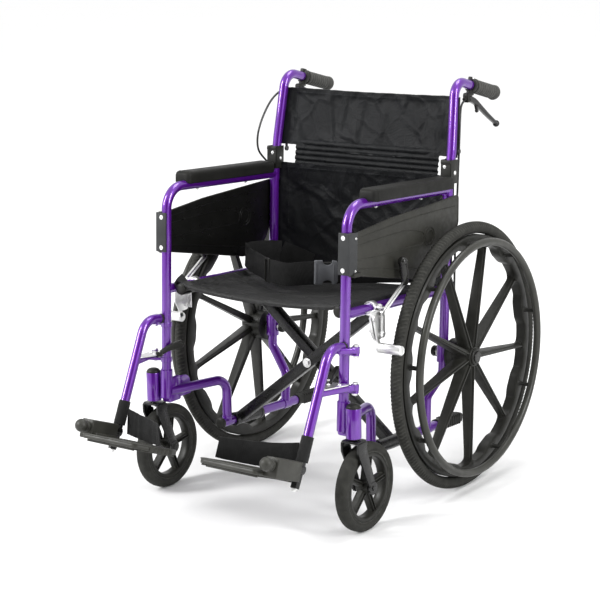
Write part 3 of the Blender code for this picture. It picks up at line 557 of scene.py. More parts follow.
def bright_metal():
    """Satin plated steel with drawn scratches."""
    p = Paint("plated_steel", (0.74, 0.74, 0.735), 0.36, Metallic=1.0)
    p.vary(p.noise(40.0, 4.0), 0.08)
    p.rough(p.noise(220.0, 4.0, (1.0, 1.0, 0.08)), 0.06)
    p.bump(p.noise(700.0, 2.0, (1.0, 1.0, 0.05)), 0.00001)
    return p.material


def tyre_rubber():
    p = Paint("tyre_rubber", (0.019, 0.019, 0.0165), 0.72, Specular_IOR_Level=0.20)
    base = p.vary(p.noise(60.0, 6.0), 0.30)
    p.edge_wear(base, (0.12, 0.12, 0.11), 0.52, 0.66)
    p.rough(p.noise(300.0, 3.0), 0.08)
    p.bump(p.noise(1400.0, 3.0), 0.00012)
    return p.material


def grip_rubber():
    p = Paint("grip_rubber", (0.034, 0.034, 0.031), 0.66, Specular_IOR_Level=0.3)
    p.vary(p.noise(80.0, 4.0), 0.2)
    p.rough(p.noise(200.0), 0.08)
    p.bump(p.noise(1500.0, 2.0), 0.00010)
    return p.material


def cable_sheath():
    p = Paint("cable_sheath", (0.010, 0.010, 0.010), 0.34)
    p.vary(p.noise(100.0), 0.25)
    p.bump(p.noise(900.0), 0.00004)
    return p.material


def nylon(name, colour, shine):
    """Plain-woven nylon: fine threads, a soft sheen and sharp little crumples."""
    p = Paint(name, colour, 0.42, Sheen_Weight=0.02, Sheen_Roughness=0.4, Specular_IOR_Level=shine)
    p.vary(p.noise(18.0, 5.0), 0.22)
    p.rough(p.noise(12.0, 4.0), 0.10)
    p.bump(p.threads((0.0011, 0.0011, 0.0011)), 0.00005)
    p.bump(p.crumple(13.0, 0.045, 0.12), 0.0040, 0.38)
    p.bump(p.crumple(38.0, 0.020, 0.16), 0.0012, 0.26)
    p.bump(p.noise(11.0, 3.0), 0.0050, 0.5)
    return p.material


def webbing(name, colour, pitch):
    """Ribbed webbing: strong ribs along its length and finer threads across."""
    p = Paint(name, colour, 0.75, Sheen_Weight=0.06, Sheen_Roughness=0.5, Specular_IOR_Level=0.12)
    p.vary(p.noise(40.0, 5.0), 0.3)
    p.rough(p.noise(90.0), 0.08)
    p.bump(p.threads((0.0009, 0.0009, pitch)), 0.00010)
    p.bump(p.noise(35.0, 4.0), 0.0008, 0.5)
    return p.material


PAINT = {
    "purple_paint": purple_paint(),
    "black_paint": coat_black("black_powder_coat", (0.0045, 0.0045, 0.0045), 0.30),
    "black_plastic": moulded("moulded_black", (0.012, 0.012, 0.0105), 0.46, 1300.0, 0.00007),
    "guard_plastic": moulded("moulded_guard", (0.0175, 0.0172, 0.0140), 0.46, 1100.0, 0.00007, 0.22),
    "footplate_plastic": moulded("moulded_footplate", (0.0270, 0.0268, 0.0225), 0.44, 1200.0, 0.00007, 0.28),
    # A much darker copy of the guard's plastic, for the sheet over the guard's inner face: painted shade.
    "guard_lining": moulded("moulded_lining", (0.0050, 0.0050, 0.0046), 0.34, 1100.0, 0.00005, 0.16),
    "clip_plastic": moulded("moulded_clip", (0.024, 0.025, 0.026), 0.48, 1100.0, 0.00007),
    "wheel_plastic": moulded("moulded_wheel", (0.0125, 0.0125, 0.0105), 0.42, 800.0, 0.00008, 0.22),
    "handrim_plastic": moulded("coated_handrim", (0.022, 0.022, 0.018), 0.36, 600.0, 0.00003, 0.35),
    "buckle_plastic": moulded("moulded_buckle", (0.085, 0.088, 0.095), 0.42, 1200.0, 0.00005, 0.30),
    "gloss_plastic": moulded("polished_knob", (0.010, 0.010, 0.009), 0.20, 500.0, 0.00002, 0.35),
    "armrest_foam": armrest_foam(),
    "bright_metal": bright_metal(),
    "tyre": tyre_rubber(),
    "grip_rubber": grip_rubber(),
    "cable_sheath": cable_sheath(),
    # The back's cloth is the seat's fabric painted darker and bluer: painted shade on the upright back, while the seat
    # cloth is the lit copy.
    "nylon": nylon("back_cloth", (0.0050, 0.0054, 0.0061), 0.15),
    "seat_nylon": nylon("seat_cloth", (0.0120, 0.0121, 0.0118), 0.21),
    "webbing": webbing("belt_webbing", (0.0075, 0.0075, 0.0075), 0.0016),
    "strap_webbing": webbing("strap_webbing", (0.010, 0.010, 0.010), 0.0022),
    "thread": webbing("stitching_thread", (0.030, 0.032, 0.036), 0.0010),
}

# ---- camera, floor and light --------------------------------------------------------------------


def camera():
    """The studio view: from the chair's front left, a little above the seat."""
    azimuth, elevation, roll = math.radians(35.85), math.radians(12.79), math.radians(-1.02)
    back = Vector(
        (
            math.sin(azimuth) * math.cos(elevation),
            -math.cos(azimuth) * math.cos(elevation),
            math.sin(elevation),
        )
    )
    right = (-back).cross(Z).normalized()
    top = right.cross(-back)
    rolled_right = math.cos(roll) * right + math.sin(roll) * top
    rolled_top = -math.sin(roll) * right + math.cos(roll) * top
    data = bpy.data.cameras.new("camera")
    data.lens = 105.9
    data.sensor_width = 36.0
    obj = bpy.data.objects.new("camera", data)
    place = Matrix((rolled_right, rolled_top, back)).transposed().to_4x4()
    place.translation = at(2.2627, -3.35635, 1.31914)
    obj.matrix_world = place
    bpy.context.scene.collection.objects.link(obj)
    bpy.context.scene.camera = obj


def softbox(name, place, target, size, power, colour=(1.0, 1.0, 1.0)):
    data = bpy.data.lights.new(name, "AREA")
    data.shape = "RECTANGLE"
    data.size, data.size_y = size
    data.energy = power
    data.color = colour
    obj = bpy.data.objects.new(name, data)
    obj.location = place
    obj.rotation_euler = (Vector(target) - Vector(place)).to_track_quat("-Z", "Y").to_euler()
    bpy.context.scene.collection.objects.link(obj)


def flag(name, azimuth, distance, size):
    """A black studio flag, which the tubes mirror. It stands behind the camera, out of every picture."""
    turn = math.radians(azimuth)
    shape = box((size[0], 0.02, size[1]), Vector((0, -distance, size[1] / 2)), None, 0.005, 1)
    shape = placed(shape, Matrix.Rotation(turn, 4, "Z"))
    mesh = bpy.data.meshes.new(name)
    mesh.from_pydata(shape[0], [], shape[1])
    obj = bpy.data.objects.new(name, mesh)
    p = Paint("flag_cloth", (0.01, 0.01, 0.01), 0.9)
    p.vary(p.noise(5.0), 0.2)
    mesh.materials.append(p.material)
    bpy.context.scene.collection.objects.link(obj)
    obj.visible_camera = False
    obj.visible_diffuse = False
    obj.visible_shadow = False


# Floor albedo close to the chair: painted shade that offsets the lamps' pool of light there.
FLOOR_SHADE_NEAR = 0.74


def studio():
    world = bpy.data.worlds.new("studio")
    world.use_nodes = True
    sky = world.node_tree.nodes["Background"]
    sky.inputs["Color"].default_value = (1.0, 1.0, 1.0, 1.0)
    sky.inputs["Strength"].default_value = 1.0
    bpy.context.scene.world = world
    bpy.context.scene.view_settings.view_transform = "Standard"
    softbox("key", (-2.4, -2.8, 2.6), (0.0, -0.1, 0.5), (0.9, 2.2), 190.0)
    softbox("side", (3.4, -0.4, 2.2), (0.1, 0.0, 0.5), (0.8, 2.4), 110.0)
    softbox("top", (0.3, 0.8, 3.6), (0.0, 0.0, 0.3), (2.0, 1.4), 55.0)
    flag("flag_front", 35.85, 5.6, (5.0, 4.4))
    mesh = bpy.data.meshes.new("floor")
    reach = 80.0
    mesh.from_pydata([(-reach, -reach, 0), (reach, -reach, 0), (reach, reach, 0), (-reach, reach, 0)], [], [(0, 1, 2, 3)])
    floor = bpy.data.objects.new("floor", mesh)
    p = Paint("pale_floor", (0.99, 0.99, 0.99), 0.7, Specular_IOR_Level=0.1)
    # The floor is painted darker within a few metres of the chair, as painted shade against the lamps' pool of light,
    # and rises to white further out.
    reach_out = p.add("ShaderNodeVectorMath", operation="LENGTH")
    p.link(p.place, reach_out.inputs[0])
    p.link(p.ramp(reach_out.outputs["Value"], 1.0, 4.5, FLOOR_SHADE_NEAR, 1.0), p.shader.inputs["Base Color"])
    mesh.materials.append(p.material)
    bpy.context.scene.collection.objects.link(floor)


camera()
studio()

# ---- shapes turned into the side frame's own directions -----------------------------------------


def upward(outline, low, high, bevel=0.0006):
    """A plate given by (x, y) around the world's X and the frame's Y, from low to high along FRAME_Z."""
    turn = Matrix((FRAME_Z, X, FRAME_Y)).transposed()
    return placed(slab(outline, low, high, bevel), turn.to_4x4())


def capsule(a, b, radius, end_radius=None, steps=12):
    """A 2D outline round two points: a bar with round ends."""
    a, b = Vector(a), Vector(b)
    heading = math.atan2(b.y - a.y, b.x - a.x)
    outline = []
    for centre, size, start in ((a, radius, heading + math.pi / 2), (b, end_radius or radius, heading - math.pi / 2)):
        for n in range(steps + 1):
            angle = start + math.pi * n / steps
            outline.append((centre.x + size * math.cos(angle), centre.y + size * math.sin(angle)))
    return outline


def in_frame(place):
    """A world point as (along X, along FRAME_Y, along FRAME_Z)."""
    return place.x, place.dot(FRAME_Y), place.dot(FRAME_Z)


def screw(place, direction, radius=0.0036):
    """A domed screw on its washer."""
    direction = direction.normalized()
    return [
        lathe(place, direction, [(0, radius * 1.45), (0.0007, radius * 1.45), (0.0008, radius * 1.2)], 24),
        dome(place + direction * 0.0007, direction, radius, 0.0022, 24),
        lathe(place + direction * 0.0026, direction, [(0, 0.0009), (0.0006, 0.0008)], 6),
    ]


# ---- side frame ---------------------------------------------------------------------------------

SWING_PIN = PIVOT["legrest_swing_left"]
UPPER_PIN_Z = 0.382
LOWER_PIN_Z = 0.302
PIN_DROP = FRAME_Z * (LOWER_PIN_Z - UPPER_PIN_Z)
LUG_DROP = 0.0105


def arm_tube():
    line = [up(POST_X, REAR_POST_Y, ARM_Z), up(POST_X, FRONT_POST_Y, ARM_Z), up(POST_X, FRONT_POST_Y, POST_FOOT_Z)]
    shapes = [pipe(bent(line, 0.050), TUBE, 32)]
    post = up(POST_X, FRONT_POST_Y, UPPER_PIN_Z)
    for drop in (Vector((0, 0, 0)), PIN_DROP):
        a, b = in_frame(post + drop), in_frame(SWING_PIN + drop)
        outline = capsule(a[:2], b[:2], 0.0100, 0.0080)
        level = b[2] - LUG_DROP
        shapes.append(upward(outline, level - 0.0020, level + 0.0020))
        shapes.append(rod(post + drop - FRAME_Z * 0.0165, post + drop - FRAME_Z * 0.0055, 0.0127, 32))
    pair("arm_tube", "frame", "purple_paint", shapes, ["front_frame"])
    pins = []
    for drop in (Vector((0, 0, 0)), PIN_DROP):
        foot = SWING_PIN + drop - FRAME_Z * LUG_DROP
        pins.append(rod(foot - FRAME_Z * 0.004, foot + FRAME_Z * 0.0200, 0.0038, 24))
        pins.append(hexagon(foot - FRAME_Z * 0.0020, -FRAME_Z, 0.0066, 0.0045))
        pins.append(rod(foot - FRAME_Z * 0.0080, foot - FRAME_Z * 0.0050, 0.0032, 20))
        pins.append(hexagon(foot + FRAME_Z * 0.0175, FRAME_Z, 0.0064, 0.0036))
    pair("legrest_pins", "frame", "bright_metal", pins)


def rear_post():
    line = [
        up(POST_X, REAR_POST_Y, 0.701),
        up(POST_X, REAR_POST_Y, 0.258),
        up(RAIL_X, REAR_POST_Y, 0.195),
        up(RAIL_X, REAR_POST_Y, LOWER_RAIL_Z),
    ]
    rail_front = up(POST_X, FRONT_POST_Y, SEAT_RAIL_Z)
    rail_back = up(POST_X, REAR_POST_Y, SEAT_RAIL_Z)
    receiver = up(POST_X, REAR_POST_Y, 0.3085)
    shapes = [
        pipe(bent(line, 0.030), TUBE, 32),
        pipe([rail_front, rail_front.lerp(rail_back, 0.5), rail_back], TUBE, 32),
        rod(receiver - FRAME_Z * 0.0245, receiver + FRAME_Z * 0.0245, 0.0152, 36),
        rod(up(POST_X, REAR_POST_Y, 0.664), up(POST_X, REAR_POST_Y, 0.6995), 0.0122, 32),
    ]
    pair("rear_post", "frame", "purple_paint", shapes, ["rear_frame"])
    outer = PIVOT["axle_button_left"].x if "axle_button_left" in PIVOT else 0.328
    steel = [
        rod(Vector((0.222, AXLE.y, AXLE.z)), Vector((outer - 0.0065, AXLE.y, AXLE.z)), 0.0058, 28),
        lathe(Vector((POST_X + 0.0145, AXLE.y, AXLE.z)), X, [(0, 0.0110), (0.003, 0.0110), (0.0035, 0.0090), (0.0055, 0.0088)], 6),
        hexagon(Vector((POST_X - 0.0150, AXLE.y, AXLE.z)), -X, 0.0105, 0.0050),
    ]
    for z in (0.640, 0.470, 0.232):
        steel += screw(up(POST_X if z > 0.25 else RAIL_X + 0.0165, REAR_POST_Y + 0.0105, z), FRAME_Y, 0.0030)
    pair("axle", "frame", "bright_metal", steel)
    knob = Vector((0.226, AXLE.y, AXLE.z))
    profile = [(0, 0.0080), (0.003, 0.0085), (0.0045, 0.0120), (0.0120, 0.0126), (0.0145, 0.0110), (0.0155, 0.0060)]
    pair("axle_knob", "frame", "black_plastic", [lathe(knob, -X, profile, 36)])


def bottom_rail():
    front = up(RAIL_X, -0.257, LOWER_RAIL_Z)
    back = up(RAIL_X, 0.062, LOWER_RAIL_Z)
    joint = up(RAIL_X, REAR_POST_Y, LOWER_RAIL_Z)
    shapes = [
        pipe([front, front.lerp(back, 0.5), back], TUBE, 32),
        rod(joint - FRAME_Y * 0.0135, joint + FRAME_Y * 0.0135, 0.0126, 32),
    ]
    pair("bottom_rail", "frame", "purple_paint", shapes, ["lower_rail"])
    cap = [(0, 0.0105), (0.001, 0.0128), (0.0075, 0.0128), (0.0090, 0.0112), (0.0098, 0.0060)]
    shapes = [lathe(front + FRAME_Y * 0.0010, -FRAME_Y, cap, 36)]
    for n in range(3):
        start = front - FRAME_Y * (0.0018 + 0.0021 * n)
        shapes.append(lathe(start, -FRAME_Y, [(0, 0.0126), (0.0004, 0.0131), (0.0008, 0.0126)], 36))
    middle = up(RAIL_X, 0.0935, LOWER_RAIL_Z)
    shapes.append(box((0.0235, 0.104, 0.0235), middle, LEAN_TURN, 0.006, 4))
    shapes.append(rod(up(RAIL_X, 0.036, LOWER_RAIL_Z), up(RAIL_X, 0.050, LOWER_RAIL_Z), 0.0138, 32, 0.0015))
    for n in range(9):
        place = up(RAIL_X, 0.062 + 0.0085 * n, LOWER_RAIL_Z)
        shapes.append(box((0.0255, 0.0042, 0.0255), place, LEAN_TURN, 0.0012, 2))
    pair("rail_ends", "frame", "black_plastic", shapes)


def caster_head():
    """Bearing housing, post sleeve, gusset and the bent tube down to the bottom rail."""
    low, high = 0.2150, 0.2810
    sleeve_low = up(POST_X, FRONT_POST_Y, POST_FOOT_Z - 0.003)
    sleeve_high = up(POST_X, FRONT_POST_Y, 0.268)
    bend = [up(0.236, -0.405, 0.218), up(RAIL_X, -0.240, 0.222), up(RAIL_X, -0.236, LOWER_RAIL_Z)]
    axis = Vector((SWIVEL.x, SWIVEL.y, 0.0))
    outline = rounded([(-0.0120, 0.0), (-0.0120, 0.060), (0.0120, 0.052), (0.0140, 0.0)], 0.006)
    gusset_turn = Matrix.Translation(at(0.2400, -0.4000, 0.2130)) @ Matrix.Rotation(math.radians(-90.0), 4, "Z")
    flange = [(-0.010, 0.0), (-0.010, 0.052, 0.018), (0.044, 0.046, 0.024), (0.050, 0.0)]
    shapes = [
        lathe(axis + Z * low, Z, [(0, 0.0150), (0.0010, 0.0166), (0.064, 0.0166), (0.066, 0.0158)], 40),
        lathe(sleeve_low, FRAME_Z, [(0, 0.0128), (0.0012, 0.0139), (0.0645, 0.0139), (0.066, 0.0124)], 36),
        pipe(bent(bend, 0.032), TUBE, 32),
        placed(slab(outline, -0.022, 0.014, 0.002), gusset_turn),
        slab([(p[0] + AXLE.y - 0.384, p[1] + 0.218) for p in rounded(flange, 0.006)], 0.2330, 0.2362),
        rod(up(RAIL_X, -0.236, LOWER_RAIL_Z + 0.009), up(RAIL_X, -0.236, LOWER_RAIL_Z + 0.015), 0.0124, 32),
    ]
    pair("caster_head", "frame", "purple_paint", shapes, ["caster_housing"])
    top = axis + Z * high
    cap = [(0, 0.0160), (0.0016, 0.0160), (0.0022, 0.0148)]
    cap += [(0.0022 + 0.0075 * math.sin(a), 0.0148 * math.cos(a)) for a in np.linspace(0.1, math.pi / 2, 9)]
    pair("bearing_cap", "frame", "black_plastic", [lathe(top, Z, cap, 36)])
    pair("bearing_ring", "frame", "bright_metal", [rod(axis + Z * 0.2135, axis + Z * 0.2160, 0.0118, 32)])


def guard_line(pairs, face, size=0.0011):
    """A moulded bead on one face of the side guard."""
    places = [up(face, y, z) for y, z in pairs]
    return pipe(smooth(places, 8), size, 8)


def guard():
    """The side guard with its rolled rim, sweeping beads and round boss, and a thin dark sheet over its inner face that
    is painted shade.
    """
    outline = [
        (-0.4190, 0.6250, 0.004),
        (-0.3950, 0.6220, 0.020),
        (-0.2600, 0.6410, 0.200),
        (0.0160, 0.6650, 0.008),
        (0.0180, 0.6040, 0.020),
        (-0.0200, 0.5250, 0.030),
        (-0.0600, 0.4900, 0.020),
        (-0.1100, 0.4900, 0.030),
        (-0.3950, 0.5350, 0.060),
        (-0.4190, 0.5370, 0.004),
    ]
    inner, outer = POST_X + TUBE + 0.0015, POST_X + TUBE + 0.0045
    edge = rounded(outline, 0.01)
    places = [up(0.0, y, z) for y, z in edge]
    shapes = [slab([(p.y, p.z) for p in places], inner, outer, 0.0008)]
    rim = [up((inner + outer) / 2, y, z) for y, z in edge]
    shapes.append(pipe(rim + rim[:1], 0.0022, 10))
    boss_y, boss_z = -0.105, 0.585
    # The inner face's beads go onto the dark sheet below and share its painted shade.
    shaded_inner_beads = []
    for face, kept in ((inner - 0.0006, shaded_inner_beads), (outer, shapes)):
        kept.append(guard_line([(-0.392, 0.596), (-0.300, 0.604), (-0.200, 0.608), (-0.140, 0.600), (-0.126, 0.590)], face))
        kept.append(guard_line([(-0.392, 0.566), (-0.300, 0.566), (-0.200, 0.570), (-0.140, 0.572), (-0.126, 0.580)], face))
        kept.append(guard_line([(-0.392, 0.612), (-0.300, 0.622), (-0.180, 0.634), (-0.060, 0.640), (0.004, 0.642)], face))
        kept.append(guard_line([(-0.392, 0.548), (-0.300, 0.538), (-0.180, 0.522), (-0.110, 0.513), (-0.060, 0.512)], face))
        for radius in (0.0215, 0.0150):
            circle = []
            for n in range(33):
                angle = 2 * math.pi * n / 32
                circle.append(up(face, boss_y + radius * math.cos(angle), boss_z + radius * math.sin(angle)))
            kept.append(pipe(circle, 0.0011, 8))
    shapes.append(box((0.0120, 0.0280, 0.0090), up(outer + 0.0010, -0.395, 0.5360), LEAN_TURN, 0.0025))
    pair("guard_panel", "frame", "guard_plastic", shapes, ["side_guard"])
    # A thin sheet over the guard's inner face in a darker copy of the guard's plastic: painted shade where that face
    # lies in shadow.
    shade_sheet = [slab([(p.y, p.z) for p in places], inner - 0.0006, inner + 0.0006, 0.0003)] + shaded_inner_beads
    pair("guard_lining", "frame", "guard_lining", shade_sheet)
    clip = [
        box((0.0265, 0.0040, 0.0880), up(0.2445, -0.4216, 0.58125), LEAN_TURN, 0.0012),
        box((0.0040, 0.0300, 0.0880), up(outer + 0.0008, -0.4080, 0.58125), LEAN_TURN, 0.0012),
    ]
    pair("guard_clip", "frame", "clip_plastic", clip)
    screws = []
    for z in (0.615, 0.547):
        screws += screw(up(POST_X + 0.002, -0.4236, z), -FRAME_Y, 0.0034)
        screws += screw(up(outer + 0.0028, -0.4010, z - 0.002), X, 0.0018)
    pair("guard_screws", "frame", "bright_metal", screws)


def pad_section(width, height, inset):
    """Half-round top corners and tight lower ones, counted from the section's middle."""
    w, h = width / 2 - inset, height - inset
    corners = [
        (-w, inset * 0.3, 0.0025),
        (-w, h, 0.0105),
        (w, h, 0.0105),
        (w, inset * 0.3, 0.0025),
    ]
    return rounded(corners, 0.01, 7)


def armrest():
    length, width, height = 0.3265, 0.0450, 0.0270
    middle, low = -0.184, 0.6840
    ends = [0.0, 0.0008, 0.0020, 0.0040, 0.0070, 0.0110]
    stations = [(d, 0.0085 * (1 - math.sqrt(1 - (1 - d / 0.0111) ** 2))) for d in ends]
    stations += [(length * k / 6, 0.0) for k in range(1, 6)]
    stations += [(length - d, inset) for d, inset in reversed(stations[: len(ends)])]
    rows = []
    for along, inset in stations:
        y = middle - length / 2 + along
        rows.append([up(0.249 + x, y, low + z) for x, z in pad_section(width, height, inset)])
    shapes = [loft(rows)]
    lip = [up(0.249 + x * 1.004, middle - length / 2 + 0.0125, low + z * 1.004) for x, z in pad_section(width, height, 0.0003)]
    shapes.append(pipe(lip + lip[:1], 0.0007, 8))
    for pad in pair("armrest", "frame", "armrest_foam", shapes, ["armrest_pad"], 60.0):
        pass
    screws = []
    for y in (-0.300, -0.120):
        screws += screw(up(POST_X, y, ARM_Z - TUBE), -FRAME_Z, 0.0030)
    pair("armrest_screws", "frame", "bright_metal", screws)


def channel():
    """The black folded channel that carries the back's hinge pin."""
    middle = up(POST_X, REAR_POST_Y + 0.0025, 0.71925)
    plate = 0.0022
    shapes = [
        box((0.0268, plate, 0.0535), middle - FRAME_Y * (0.0150 - plate / 2), LEAN_TURN, 0.0010),
        box((plate, 0.0320, 0.0535), middle + X * (0.0134 - plate / 2) + FRAME_Y * 0.001, LEAN_TURN, 0.0010),
        box((plate, 0.0320, 0.0535), middle - X * (0.0134 - plate / 2) + FRAME_Y * 0.001, LEAN_TURN, 0.0010),
        box((0.0268, 0.0034, 0.0080), middle - FRAME_Y * 0.0150 + FRAME_Z * 0.0215, LEAN_TURN, 0.0014),
    ]
    pair("hinge_channel", "frame", "black_plastic", shapes, ["back_bracket"])
    pin = [rod(BACK_PIN - X * 0.0146, BACK_PIN + X * 0.0146, 0.0039, 24)]
    pin += screw(middle - FRAME_Y * 0.0150 + FRAME_Z * 0.011 - X * 0.003, -FRAME_Y, 0.0026)
    pin += screw(BACK_PIN + X * 0.0134, X, 0.0034)
    pair("hinge_pin", "frame", "bright_metal", pin)


# ---- rear wheel ---------------------------------------------------------------------------------

SPOKES = 9
SPOKE_START = math.radians(17.0)
RING_RADIUS = 0.291
TYRE_TUBE = 0.014
RIM_OUTER = 0.2764
HANDRIM_RADIUS = 0.263
HANDRIM_X = 0.339
HUB_IN_X = 0.262
HUB_OUT_X = 0.328
TREAD_BLOCKS = 212
STEPS_PER_BLOCK = 4


def tread(n, angle):
    """The tyre's section at one step round it: rows of small blocks on a round carcass."""
    section = []
    for k in range(26):
        turn = 2 * math.pi * k / 26
        side = math.atan2(math.sin(turn), math.cos(turn))
        size = TYRE_TUBE
        across = abs(side)
        phase = (n + (2 if side > 0 else 0)) % STEPS_PER_BLOCK
        if across < 0.15:
            size -= 0.0
        elif across < 0.62:
            size -= 0.0021 if phase == 0 else 0.0
        elif across < 1.15:
            size -= 0.0025 if phase in (1, 2) else 0.0002
        else:
            size -= 0.0008
        section.append((RING_RADIUS + size * math.cos(turn), size * math.sin(turn)))
    return section


def rim_inner(angle):
    """The rim's lobed inner edge: wide at the handrim's feet and filleted into each spoke."""
    step = 2 * math.pi / SPOKES
    from_spoke = (angle - SPOKE_START + step / 2) % step - step / 2
    from_foot = step / 2 - abs(from_spoke)
    lobe = max(0.0, 1.0 - (from_foot / math.radians(9.0)) ** 2)
    lobe = lobe * lobe * (3 - 2 * lobe)
    fillet = max(0.0, 1.0 - abs(from_spoke) / math.radians(5.0)) ** 2
    return 0.2560 - 0.0095 * lobe - 0.0080 * fillet


def rim_section(n, angle):
    inner = rim_inner(angle)
    return [
        (RIM_OUTER, 0.0098),
        (0.2735, 0.0128),
        (0.2690, 0.0136),
        (inner + 0.0030, 0.0130),
        (inner + 0.0008, 0.0118),
        (inner, 0.0095),
        (inner, -0.0095),
        (inner + 0.0008, -0.0118),
        (inner + 0.0030, -0.0130),
        (0.2690, -0.0136),
        (0.2735, -0.0128),
        (RIM_OUTER, -0.0098),
    ]


def spoke(angle):
    """A tapering hollow-backed blade: broad at the hub, its outer edge dished towards the cap."""
    out = Vector((0.0, math.sin(angle), math.cos(angle)))
    across = X.cross(out)
    rows = []
    for n in range(15):
        t = n / 14
        radius = 0.024 + (0.2535 - 0.024) * t
        half = 0.0085 - 0.0030 * t + 0.0030 * max(0.0, (t - 0.90) / 0.10) ** 2
        front = AXLE.x + 0.0225 - 0.0125 * t
        back = AXLE.x - 0.0090 + 0.0010 * t
        centre = Vector((0.0, AXLE.y, AXLE.z)) + out * radius
        ridge = 0.0022
        pairs = [
            (-half, back), (-half * 0.55, back + 0.0030), (half * 0.55, back + 0.0030), (half, back),
            (half * 0.80, front - 0.0065), (half * 0.62, front - 0.0045), (ridge, front - 0.0038),
            (ridge * 0.7, front), (-ridge * 0.7, front), (-ridge, front - 0.0038),
            (-half * 0.62, front - 0.0045), (-half * 0.80, front - 0.0065),
        ]
        rows.append([centre + across * a + X * b for a, b in pairs])
    return loft(rows)


def rear_wheel():
    centre = Vector((AXLE.x, AXLE.y, AXLE.z))
    pair("tyre", "wheel", "tyre", [ring(centre, None, TREAD_BLOCKS * STEPS_PER_BLOCK, tread)], ["rear_tyre"], 50.0)
    shapes = [ring(centre, None, 540, rim_section)]
    for n in range(SPOKES):
        shapes.append(spoke(SPOKE_START + 2 * math.pi * n / SPOKES))
    hub = Vector((HUB_IN_X, AXLE.y, AXLE.z))
    length = HUB_OUT_X - 0.006 - HUB_IN_X
    profile = [
        (0, 0.0080), (0, 0.0320), (0.0012, 0.0345), (0.0200, 0.0350), (0.0215, 0.0335), (0.0300, 0.0330),
        (0.0360, 0.0290), (length - 0.004, 0.0230), (length - 0.0008, 0.0225), (length, 0.0215), (length, 0.0080),
    ]
    shapes.append(lathe(hub, X, profile, 72))
    pair("spoked_wheel", "wheel", "wheel_plastic", shapes, ["rear_wheel"], 35.0)
    face = Vector((HUB_OUT_X - 0.0062, AXLE.y, AXLE.z))
    collar = [(0, 0.0190), (0.0040, 0.0188), (0.0056, 0.0172), (0.0056, 0.0138), (0.0012, 0.0136)]
    drum = [lathe(hub, X, [(0.0002, 0.0354), (0.0040, 0.0358), (0.0052, 0.0352)], 72)]
    pair("hub_collar", "wheel", "black_plastic", [lathe(face, X, collar, 48), *drum])
    steps = 20
    section = []
    for n in range(steps):
        turn = 2 * math.pi * n / steps
        section.append((HANDRIM_RADIUS + 0.0087 * math.cos(turn), 0.0087 * math.sin(turn)))
    rail = Vector((HANDRIM_X, AXLE.y, AXLE.z))
    shapes = [ring(rail, section, 288, lambda n, angle: section)]
    feet = []
    for n in range(SPOKES):
        angle = SPOKE_START + 2 * math.pi * (n + 0.5) / SPOKES
        out = Vector((0.0, math.sin(angle), math.cos(angle)))
        foot = centre + X * 0.0126 + out * (HANDRIM_RADIUS - 0.0045)
        top = rail + out * (HANDRIM_RADIUS - 0.0030)
        reach = (top - foot).length
        feet.append(lathe(foot, top - foot, [(0, 0.0085), (0.0016, 0.0068), (0.005, 0.0052), (reach - 0.006, 0.0046), (reach, 0.0054)], 20))
        feet.append(beam(foot - X * 0.0005 - out * 0.006, foot + X * 0.012 - out * 0.001, 0.0030, 0.0030, X.cross(out), 0.0006))
    pair("push_rim", "wheel", "handrim_plastic", shapes, ["handrim"])
    pair("rim_feet", "wheel", "black_plastic", feet)
    cap = Vector((HUB_OUT_X - 0.0008, AXLE.y, AXLE.z))
    profile = [(0, 0.0122), (0.0022, 0.0128), (0.0032, 0.0118), (0.0034, 0.0100), (0.0028, 0.0094), (0.0030, 0.0040)]
    pair("hub_button", "axle_button", "gloss_plastic", [lathe(cap, X, profile, 48)], ["axle_button"])


# ---- caster -------------------------------------------------------------------------------------

CASTER_HALF = 0.015
CASTER_SPOKE_START = math.radians(11.0)


def caster_spoke(angle):
    out = Vector((0.0, math.sin(angle), math.cos(angle)))
    across = X.cross(out)
    shapes = []
    for side in (-1, 1):
        start = CASTER + out * 0.012 + across * side * 0.0042
        end = CASTER + out * 0.0675 + across * side * 0.0034
        shapes.append(beam(start, end, 0.0026, 0.0190, across, 0.0007))
    rows = []
    for n in range(8):
        t = n / 7
        half = 0.0062 - 0.0012 * t + 0.0030 * max(0.0, (t - 0.8) / 0.2) ** 2
        depth = 0.0078 - 0.0010 * t
        centre = CASTER + out * (0.010 + 0.0575 * t)
        pairs = [(-half, -depth * 0.6), (half, -depth * 0.6), (half, depth * 0.6), (-half, depth * 0.6)]
        rows.append([centre + across * a + X * b for a, b in pairs])
    shapes.append(loft(rows))
    return shapes


def caster():
    half = CASTER_HALF
    section = [(0.0758, half - 0.0030), (0.0775, half - 0.0022), (0.0800, half - 0.0028), (0.0820, half - 0.0012), (0.0850, half)]
    for n in range(9):
        turn = math.pi / 2 * n / 8
        section.append((0.0866 + (CASTER_RADIUS - 0.0866) * math.sin(turn), half * math.cos(turn) ** 0.75))
    section += [(r, -x) for r, x in reversed(section[:-1])]
    pair("caster_rubber", "caster", "tyre", [ring(CASTER, None, 160, lambda n, a: section)], ["caster_tyre"], 50.0)
    rim = [
        (0.0756, 0.0112), (0.0745, 0.0122), (0.0700, 0.0126), (0.0672, 0.0120), (0.0660, 0.0104),
        (0.0652, 0.0030), (0.0652, -0.0030), (0.0660, -0.0104), (0.0672, -0.0120), (0.0700, -0.0126),
        (0.0745, -0.0122), (0.0756, -0.0112),
    ]
    shapes = [ring(CASTER, None, 128, lambda n, a: rim)]
    for n in range(5):
        shapes += caster_spoke(CASTER_SPOKE_START + 2 * math.pi * n / 5)
    for sign in (-1, 1):
        profile = [(0, 0.0155), (0.0110, 0.0150), (0.0124, 0.0138), (0.0152, 0.0130), (0.0154, 0.0070)]
        shapes.append(lathe(CASTER, X * sign, profile, 40))
    pair("caster_disc", "caster", "wheel_plastic", shapes, ["caster_wheel"])


